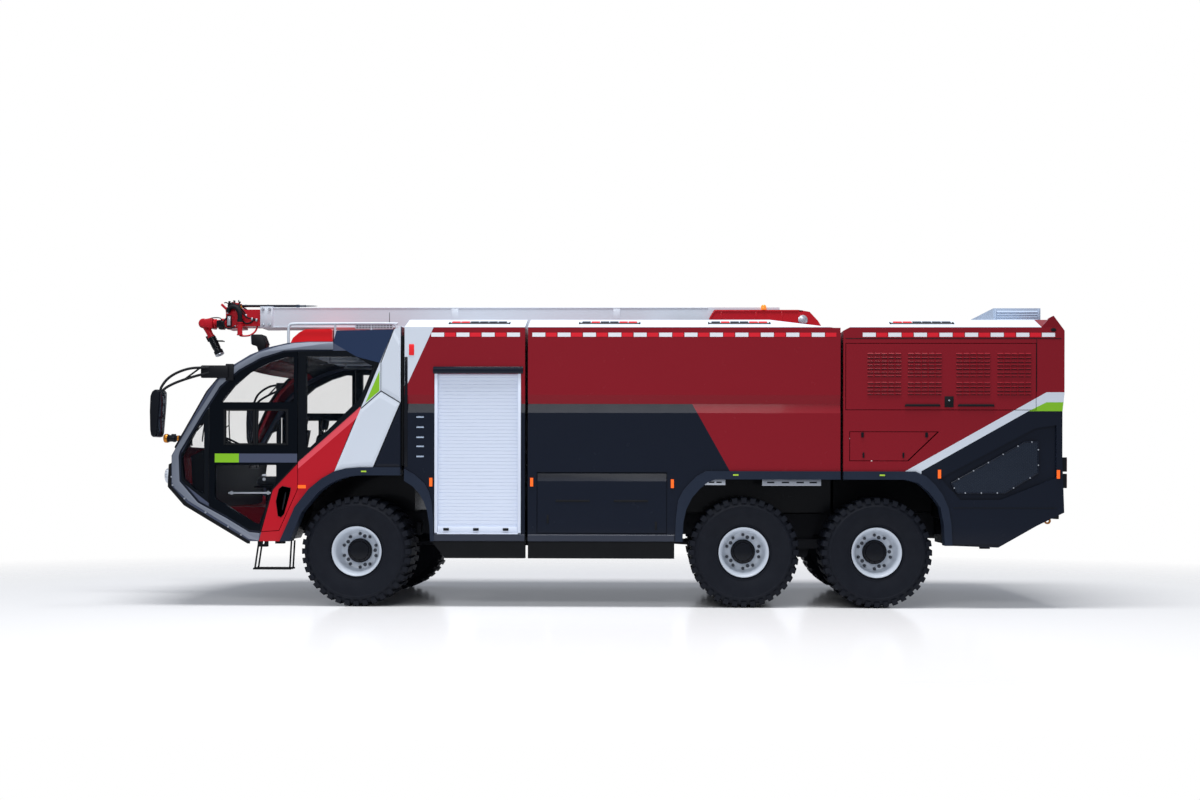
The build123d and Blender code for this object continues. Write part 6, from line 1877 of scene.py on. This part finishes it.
    def exhaust(self) -> None:
        """Slats and outlet grille of the exhaust housing, and the small vents behind it."""
        slat = Shape().bar(self.slat_outline, (8.04, 8.56))
        slats = Shape().repeat(slat, GRID, Rows=5, Rise=(0, 0, 0.032), Start=(0, 0, 3.590))
        for x in (8.02, 8.57):
            slats.box((x, x + 0.014), (-0.630, -0.6185), (3.575, 3.755), 0.002)
        slats.finish("exhaust_slats", self.palette.pale, sides=Sides.BOTH)
        grid = Shape().box((0, 0.012), (-0.50, 0.50), (3.7695, 3.7755), 0.0)
        out = Shape().repeat(grid, GRID, Columns=14, Step=(0.032, 0, 0), Start=(8.08, 0, 0))
        out.finish("exhaust_outlet", self.palette.liner)
        oval = [(8.505 + 0.034 * c, 3.395 + 0.022 * s) for c, s in turns(20)]
        vents = Shape().slab(oval, wall(0.005, 0.001), 0.002)
        vents.finish("rear_vents", self.palette.gasket, sides=Sides.BOTH)

    def build(self) -> None:
        """Builds the roof."""
        self.work_lamps()
        self.cab_top()
        self.decks()
        self.exhaust()


@dataclass
class Rear(Part):
    """Doors, louvres, lamp guards, ladder and bumper on the rear face, and the rear side seams."""

    face: float = 8.616
    edge: float = 8.640
    seam_boxes: tuple = (
        (5.985, 8.60, 3.286, 3.294), (8.300, 8.306, 2.64, 3.286), (7.285, 7.845, 0.775, 0.782),
        (7.30, 8.55, 1.226, 1.233))
    vane_outline: Outline = ((0, 0), (0.014, -0.012), (0.014, -0.004), (0, 0.018))
    lamp_guard: tuple = (
        (1.228, 1.452, 0.075, 0.088), (1.228, 1.452, -0.088, -0.075), (1.440, 1.453, -0.088, 0.088),
        (1.227, 1.240, -0.088, 0.088))
    eye_profile: Outline = ((0.020, -0.012), (0.042, -0.012), (0.042, 0.012), (0.020, 0.012))
    door_panels: tuple = ((-1.14, -0.62, 1.30, 2.34), (0.62, 1.14, 1.86, 2.34), (-0.56, 0.56, 1.30, 2.34))

    def build(self) -> None:
        """Builds the rear face."""
        doors = blocks([(self.face - 0.004, self.face + 0.010, *row) for row in self.door_panels])
        doors.finish("rear_doors", self.palette.graphite)
        upper = blocks([(self.edge - 0.004, self.edge + 0.008, -0.95, 0.55, 2.68, 3.28)])
        upper.finish("rear_upper_door", self.palette.red_panel)
        vane = Shape().slab(self.vane_outline, (-0.46, 0.46))
        vanes = Shape().repeat(vane, GRID, Rows=16, Rise=(0, 0, 0.044), Start=(self.face + 0.009, 0, 1.48))
        vanes.finish("rear_louvres", self.palette.black)
        black = blocks([(self.face, 8.668, -1.20, 1.20, 1.085, 1.195),
                        (self.face + 0.008, self.face + 0.024, -0.72, -0.66, 1.80, 1.92),
                        (self.face + 0.008, self.face + 0.024, 0.66, 0.72, 2.06, 2.16),
                        (self.edge, self.edge + 0.03, -0.05, 0.05, 3.30, 3.36),
                        (8.62, 8.66, -0.30, 0.30, 1.225, 1.235)], 0.008)
        for z in (1.56, 1.76):
            for y0, y1, z0, z1 in self.lamp_guard:
                for y in ((-y1, -y0), (y0, y1)):
                    black.box((8.605, 8.686), y, (z + z0, z + z1), 0.003)
        black.finish("rear_trim", self.palette.black)
        plate = blocks([(8.640, 8.646, -0.27, 0.27, 1.24, 1.37)], 0.002)
        plate.finish("blank_plate", self.palette.white)
        ladder = Shape()
        for y in (0.66, 1.02):
            ladder.pipe([(8.62, y, 1.32), (8.660, y, 1.335), (8.672, y, 1.38), (8.672, y, 1.70),
                         (8.672, y, 3.20), (8.668, y, 3.30), (8.63, y, 3.345)], 0.015, 10, steps=4)
        for i in range(6):
            ladder.rod((8.672, 0.66, 1.46 + 0.32 * i), (8.672, 1.02, 1.46 + 0.32 * i), 0.012, 10)
        ladder.finish("rear_ladder", self.palette.steel)
        eyes = Shape()
        for y in (-0.80, 0.80):
            eyes.turn(self.eye_profile, (8.640, y, 1.05), Axis.Y, 20, closed=True)
        eyes.finish("rear_towing_eyes", self.palette.gold)
        seams = Shape()
        for x0, x1, z0, z1 in self.seam_boxes:
            seams.box((x0, x1), wall(0.0025, 0.001), (z0, z1))
        seams.finish("engine_seams", self.palette.gasket, sides=Sides.BOTH)


@dataclass
class Underside(Part):
    """Liners, brackets, driveline, air tanks and steps."""

    shafts: tuple = (
        ((0.17, 0, 0.70), (2.36, 0, 0.80)), ((2.94, 0, 0.80), (4.60, 0, 0.70)),
        ((4.92, 0, 0.71), (6.20, 0, 0.70)))
    case_blocks: tuple[Row, ...] = (
        (2.35, 2.95, -0.24, 0.24, 0.72, 1.08), (2.45, 2.85, -0.30, 0.10, 0.66, 0.92))
    tank_profile: Outline = (
        (0.0, 0.0), (0.06, 0.012), (0.10, 0.04), (0.112, 0.07), (0.112, 0.56), (0.10, 0.59), (0.06, 0.618),
        (0.0, 0.63))
    slot_places: tuple[float, ...] = (4.33, 4.42, 5.04, 5.22, 5.40, 5.56)
    liner_blocks: tuple[Row, ...] = (
        (5.955, 7.22, -0.605, -0.585, 1.16, 1.668), (7.22, 7.26, -1.30, -0.585, 1.10, 1.66))
    bracket_blocks: tuple[Row, ...] = (
        (4.275, 4.530, -1.425, -1.412, 1.505, 1.574), (4.980, 5.700, -1.425, -1.412, 1.498, 1.574),
        (4.275, 4.530, -1.425, -1.375, 1.500, 1.508), (4.980, 5.700, -1.425, -1.375, 1.494, 1.502))
    marker_spots: Outline = ((0.07, 1.650), (4.62, 1.615), (6.40, 1.615))
    step_legs: tuple = (((-1.218, 0.800), (-1.267, 0.462)), ((-0.815, 0.800), (-0.834, 0.462)))

    def driveline(self) -> None:
        """Transfer case, prop shafts and air tanks."""
        case = blocks(self.case_blocks, 0.03)
        for x, z0, z1 in ((2.42, 0.74, 1.02), (2.88, 0.74, 1.02)):
            case.box((x, x + 0.02), (-0.26, 0.26), (z0, z1), 0.004)
        for start, end in self.shafts:
            a, b = Vector(start), Vector(end)
            case.rod(a, b, 0.040, 16)
            for near, far in ((a, b), (b, a)):
                case.rod(near, near.lerp(far, 0.05), 0.058, 16)
        case.finish("driveline", self.palette.chassis)
        tank = Shape()
        for x in (2.25, 3.00):
            tank.turn(self.tank_profile, (x, -0.62, 0.735), Axis.X, 28)
            for dx in (0.14, 0.47):
                tank.drum(0.116, (dx, dx + 0.03), (x, -0.62, 0.735), Axis.X, 28)
        tank.finish("air_tanks", self.palette.graphite, sides=Sides.BOTH)

    def arches(self) -> None:
        """Dark liners between the rear wheels, slotted brackets and the joint behind the cab."""
        liner = blocks(self.liner_blocks, 0.004)
        liner.finish("arch_liners", self.palette.liner, sides=Sides.BOTH)
        steel = blocks(self.bracket_blocks, 0.002)
        steel.finish("arch_brackets", self.palette.steel, sides=Sides.BOTH)
        slots = Shape()
        for x in self.slot_places:
            slots.box((x, x + 0.065 if x < 4.5 else x + 0.09), (-1.428, -1.424), (1.525, 1.543), 0.0)
        slots.finish("arch_bracket_slots", self.palette.gasket, sides=Sides.BOTH)
        joint = Shape()
        for i in range(3):
            joint.box((0.552 + 0.015 * i, 0.564 + 0.015 * i),
                      (-1.478 + 0.012 * (i != 1), 1.478 - 0.012 * (i != 1)), (1.73, 3.33), 0.003)
        joint.finish("cab_joint", self.palette.gasket)
        edge = blocks([(0.600, 0.636, -HALF - 0.004, -HALF + 0.001, 1.715, 3.062)], 0.002)
        edge.finish("locker_edge_strips", self.palette.gloss, sides=Sides.BOTH)
        marks = blocks([(x, x + 0.065, -HALF - 0.0235, -HALF - 0.019, z, z + 0.018)
                        for x, z in self.marker_spots], 0.002)
        marks.finish("arch_markers", self.palette.marker, sides=Sides.BOTH)

    def steps(self) -> None:
        """The hanging entry steps: tube frame with a slatted tread."""
        step = Shape()
        for top, foot in self.step_legs:
            for y in (-1.412, -1.272):
                step.rod((top[0], y, top[1]), (foot[0], y, foot[1]), 0.011, 10)
        for y in (-1.428, -1.412 + 0.07, -1.262):
            step.box((-1.285, -0.815), about(y, 0.010), (0.447, 0.468), 0.003)
        slat = Shape().box((0, 0.018), (-1.432, -1.258), (0.450, 0.4695), 0.002)
        step.repeat(slat, GRID, Columns=9, Step=(0.056, 0, 0), Start=(-1.283, 0, 0))
        step.finish("entry_step_frames", self.palette.black, sides=Sides.BOTH, replaces=("entry_steps",))

    def build(self) -> None:
        """Builds the underside."""
        self.driveline()
        self.arches()
        self.steps()


@dataclass
class Cabin(Part):
    """Seats with padded cushions, steering wheel, dashboard fittings and ceiling."""

    places: tuple = (
        (-1.250, -0.520, 1.200), (-1.250, 0.520, 1.200), (-0.060, -0.950, 1.770), (-0.060, 0.950, 1.770))
    wheel: Vector = Vector((-1.800, -0.520, 2.010))
    wheel_way: Vector = Vector((-0.5, 0.0, -0.866))
    voxel: float = 0.014
    most: float = 0.022
    pressure: float = 4.0
    frames: int = 20
    shell_side: Outline = ((0.226, 0.30), (0.240, 0.30), (0.366, 1.00), (0.350, 1.00))
    back_side: Outline = ((0.168, 0.41), (0.222, 0.41), (0.345, 0.985), (0.290, 0.985))
    rest_side: Outline = ((0.302, 1.03), (0.345, 1.03), (0.378, 1.18), (0.328, 1.18))
    screen_blocks: tuple[Row, ...] = (
        (-1.952, -1.925, -0.16, 0.16, 1.76, 1.93), (-2.05, -1.965, -0.74, -0.30, 1.925, 1.965))
    ceiling_blocks: tuple[Row, ...] = (
        (-0.88, 0.44, -1.15, -0.06, 3.168, 3.189), (-0.88, 0.44, 0.06, 1.15, 3.168, 3.189))
    hub_profile: Outline = (
        (0.0, 0.004), (0.050, 0.006), (0.058, 0.016), (0.050, 0.034), (0.026, 0.042), (0.026, 0.285),
        (0.0, 0.285))

    def swell(self, shape: Shape) -> Shape:
        """Fills a pad like a stuffed cover, by a short cloth run.

        Args:
            shape: The pad, a little smaller than it ends.

        Returns:
            The swollen pad.
        """
        scene = bpy.context.scene
        mesh = bpy.data.meshes.new("pad")
        shape.bm.to_mesh(mesh)
        pad = bpy.data.objects.new("pad", mesh)
        scene.collection.objects.link(pad)
        bpy.context.view_layer.objects.active = pad
        pad.select_set(True)
        mesh.remesh_voxel_size = self.voxel
        bpy.ops.object.voxel_remesh()
        start = [v.co.copy() for v in pad.data.vertices]
        cloth = pad.modifiers.new("cloth", "CLOTH")
        cloth.settings.use_pressure = True
        cloth.settings.uniform_pressure_force = self.pressure
        cloth.settings.effector_weights.gravity = 0.0
        cloth.settings.quality = 4
        cloth.point_cache.frame_start, cloth.point_cache.frame_end = 1, self.frames
        for number in range(1, self.frames + 1):
            scene.frame_set(number)
        ready = bpy.data.meshes.new_from_object(pad.evaluated_get(bpy.context.evaluated_depsgraph_get()))
        for vertex, was in zip(ready.vertices, start):
            moved = vertex.co - was
            if moved.length > self.most:
                vertex.co = was + moved * (self.most / moved.length)
        pad.modifiers.clear()
        pad.data = ready
        pad.modifiers.new("smooth", "SUBSURF").levels = 1
        smooth = bpy.data.meshes.new_from_object(pad.evaluated_get(bpy.context.evaluated_depsgraph_get()))
        scene.frame_set(1)
        bpy.data.objects.remove(pad)
        out = Shape()
        out.bm.from_mesh(smooth)
        return out

    def seats(self) -> None:
        """Cushions, backs and headrests, with their shells and pedestals."""
        cushion = self.swell(Shape().box((-0.238, 0.215), (-0.230, 0.230), (0.278, 0.372), 0.03))
        cheeks = [[(x, y, z) for x, z in self.back_side] for y in (-0.218, 0.218)]
        back = self.swell(Shape().prism(cheeks, 0.02))
        rest = [[(x, y, z) for x, z in self.rest_side] for y in (-0.110, 0.110)]
        head = self.swell(Shape().prism(rest, 0.015))
        shells = Shape()
        for number, (x, y, floor) in enumerate(self.places):
            move = Matrix.Translation((x, y, floor))
            for part, pad in (("cushion", cushion), ("back", back), ("headrest", head)):
                piece = Shape().take(pad, move)
                name = f"seat_{part}_{number + 1}"
                first = part == "cushion" and number == 0
                piece.finish(name, self.palette.cloth, replaces=("seats",) if first else (), smooth=60)
            unit = Shape().box((-0.125, 0.125), (-0.145, 0.145), (0.0, 0.245), 0.02)
            unit.box((-0.245, 0.235), (-0.240, 0.240), (0.245, 0.275), 0.010)
            unit.slab(self.shell_side, (-0.225, 0.225), 0.004)
            for post in (-0.06, 0.06):
                unit.rod((0.318, post, 0.97), (0.336, post, 1.06), 0.007, 8)
            shells.take(unit, move)
        shells.finish("seat_shells", self.palette.black)

    def fittings(self) -> None:
        """Steering wheel, screens, ceiling and grab rails."""
        move = aimed(self.wheel, self.wheel_way)
        ring = [(0.215 + 0.014 * c, 0.012 + 0.014 * s) for c, s in turns(10)]
        wheel = Shape().take(Shape().turn(ring, Vector(), Axis.X, 48, closed=True), move)
        for turn in (90, 210, 330):
            a = math.radians(turn)
            wheel.take(Shape().tube([(0.020, 0, 0), (0.022, 0.10 * math.cos(a), 0.10 * math.sin(a)),
                                     (0.012, 0.208 * math.cos(a), 0.208 * math.sin(a))], 0.013, 8), move)
        wheel.take(Shape().turn(self.hub_profile, Vector(), Axis.X, 24), move)
        wheel.finish("steering_wheel_rim", self.palette.gloss, replaces=("steering_wheel",))
        screens = blocks(self.screen_blocks, 0.008)
        screens.box((-1.940, -1.912), (0.36, 0.78), (1.70, 1.84), 0.006)
        screens.finish("dashboard_screens", self.palette.gloss)
        ceiling = blocks(self.ceiling_blocks, 0.008)
        ceiling.finish("cab_ceiling", self.palette.pale)
        rails = Shape()
        for y in (-0.42, 0.42):
            rails.pipe([(-0.60, y, 3.17), (-0.60, y, 3.10), (-0.56, y, 3.08), (0.16, y, 3.08),
                        (0.20, y, 3.10), (0.20, y, 3.17)], 0.012, 8, steps=3)
        rails.box((-0.36, -0.30), (-0.40, 0.40), (1.20, 1.26), 0.01)
        for y in (-0.36, 0.36):
            rails.rod((-0.33, y, 1.22), (-0.33, y, 2.05), 0.018, 10)
        rails.rod((-0.33, -0.36, 2.05), (-0.33, 0.36, 2.05), 0.018, 10)
        rails.finish("cab_grab_rails", self.palette.steel)

    def build(self) -> None:
        """Builds the cabin."""
        self.seats()
        self.fittings()


# ------------------------------------------------------------------------------------------------ stage
@dataclass
class Studio:
    """Pale floor, soft light and the camera."""

    camera_place: tuple = (0.935, -17.274, 1.638)
    yaw: float = 0.952
    roll: float = 0.117
    lens: float = 38.76
    shift: Point = (-0.0375, 0.0614)
    floor_radius: float = 40.0
    fade: Span = (3.6, 9.5)
    squash: float = 0.62
    ray_shades: tuple = (
        ("Is Glossy Ray", (0.42, 0.44, 0.48)), ("Is Transmission Ray", (1, 1, 1)),
        ("Is Camera Ray", (1, 1, 1)))

    def camera(self) -> None:
        """Adds the camera."""
        data = bpy.data.cameras.new("camera")
        data.lens, data.sensor_width = self.lens, 36.0
        data.shift_x, data.shift_y = self.shift
        data.clip_end = 300.0
        camera = bpy.data.objects.new("camera", data)
        turn = Matrix.Translation(self.camera_place)
        for degrees, axis in ((self.yaw, "Z"), (90, "X"), (self.roll, "Z")):
            turn @= Matrix.Rotation(math.radians(degrees), 4, axis)
        camera.matrix_world = turn
        bpy.context.scene.collection.objects.link(camera)
        bpy.context.scene.camera = camera

    def lamp(self, name: str, place: tuple, aim: tuple, size: Point, power: float,
             colour: Colour = (1, 1, 1)) -> None:
        """Adds one soft area lamp."""
        data = bpy.data.lights.new(name, "AREA")
        data.shape, data.size, data.size_y, data.energy, data.color = "RECTANGLE", *size, power, colour
        lamp = bpy.data.objects.new(name, data)
        lamp.location = place
        lamp.rotation_euler = (Vector(aim) - Vector(place)).to_track_quat("-Z", "Y").to_euler()
        bpy.context.scene.collection.objects.link(lamp)

    def floor(self) -> None:
        """Adds a floor that fades into the white background."""
        bm = bmesh.new()
        bmesh.ops.create_circle(bm, cap_ends=True, radius=self.floor_radius, segments=96)
        mesh = bpy.data.meshes.new("floor")
        bm.to_mesh(mesh)
        bm.free()
        s = Shader("floor_surface")
        length = s.tree.nodes.new("ShaderNodeVectorMath")
        length.operation = "LENGTH"
        squash = s.tree.nodes.new("ShaderNodeVectorMath")
        squash.operation = "MULTIPLY"
        squash.inputs[1].default_value = (self.squash, 1.0, 1.0)
        s.tree.links.new(s.place, squash.inputs[0])
        s.tree.links.new(squash.outputs[0], length.inputs[0])
        fade = s.tree.nodes.new("ShaderNodeMapRange")
        fade.inputs["From Min"].default_value, fade.inputs["From Max"].default_value = self.fade
        fade.inputs["To Min"].default_value, fade.inputs["To Max"].default_value = 1.0, 0.0
        s.tree.links.new(length.outputs["Value"], fade.inputs["Value"])
        s.set(Base_Color=s.mix(s.between(s.noise(0.6, 2.0), 0.0, 0.2), (0.92, 0.92, 0.93), (0.88, 0.88, 0.9)),
              Roughness=0.14, Alpha=fade.outputs[0], Specular_IOR_Level=0.05)
        mesh.materials.append(s.material)
        floor = bpy.data.objects.new("floor", mesh)
        bpy.context.scene.collection.objects.link(floor)

    def sky(self) -> None:
        """A white surround for what is seen, and a plainer one for light."""
        world = bpy.data.worlds.new("surround")
        bpy.context.scene.world = world
        world.use_nodes = True
        tree = world.node_tree
        path = tree.nodes.new("ShaderNodeLightPath")
        colour = None
        for ray, shade in self.ray_shades:
            mix = tree.nodes.new("ShaderNodeMix")
            mix.data_type = "RGBA"
            tree.links.new(path.outputs[ray], mix.inputs[0])
            mix.inputs[6].default_value = (0.28, 0.30, 0.34, 1)
            mix.inputs[7].default_value = (*shade, 1)
            if colour is not None:
                tree.links.new(colour, mix.inputs[6])
            colour = mix.outputs[2]
        tree.links.new(colour, tree.nodes["Background"].inputs[0])
        bpy.context.scene.view_settings.view_transform = "Standard"

    def build(self) -> None:
        """Builds the stage."""
        self.camera()
        self.floor()
        self.sky()
        self.lamp("overhead", (0, -4.0, 22.0), (0, 0, 1.0), (16.0, 5.0), 5600.0)
        self.lamp("side_fill", (-3.0, -14.0, 11.0), (0, 0, 2.0), (14.0, 3.0), 750.0)


def main() -> None:
    """Builds the whole scene."""
    logging.basicConfig(level=logging.INFO, format="%(message)s")
    palette = Palette()
    palette.dress()
    for part in (Wheels(palette), CabSides(palette), CabFront(palette), Mirrors(palette), BodySides(palette),
                 Boom(palette), BoomHead(palette), Lance(palette), LiftCylinders(palette), Monitors(palette),
                 Roof(palette), Rear(palette), Underside(palette), Cabin(palette), Studio()):
        LOG.info("building %s", type(part).__name__)
        part.build()


if __name__ == "__main__":
    main()
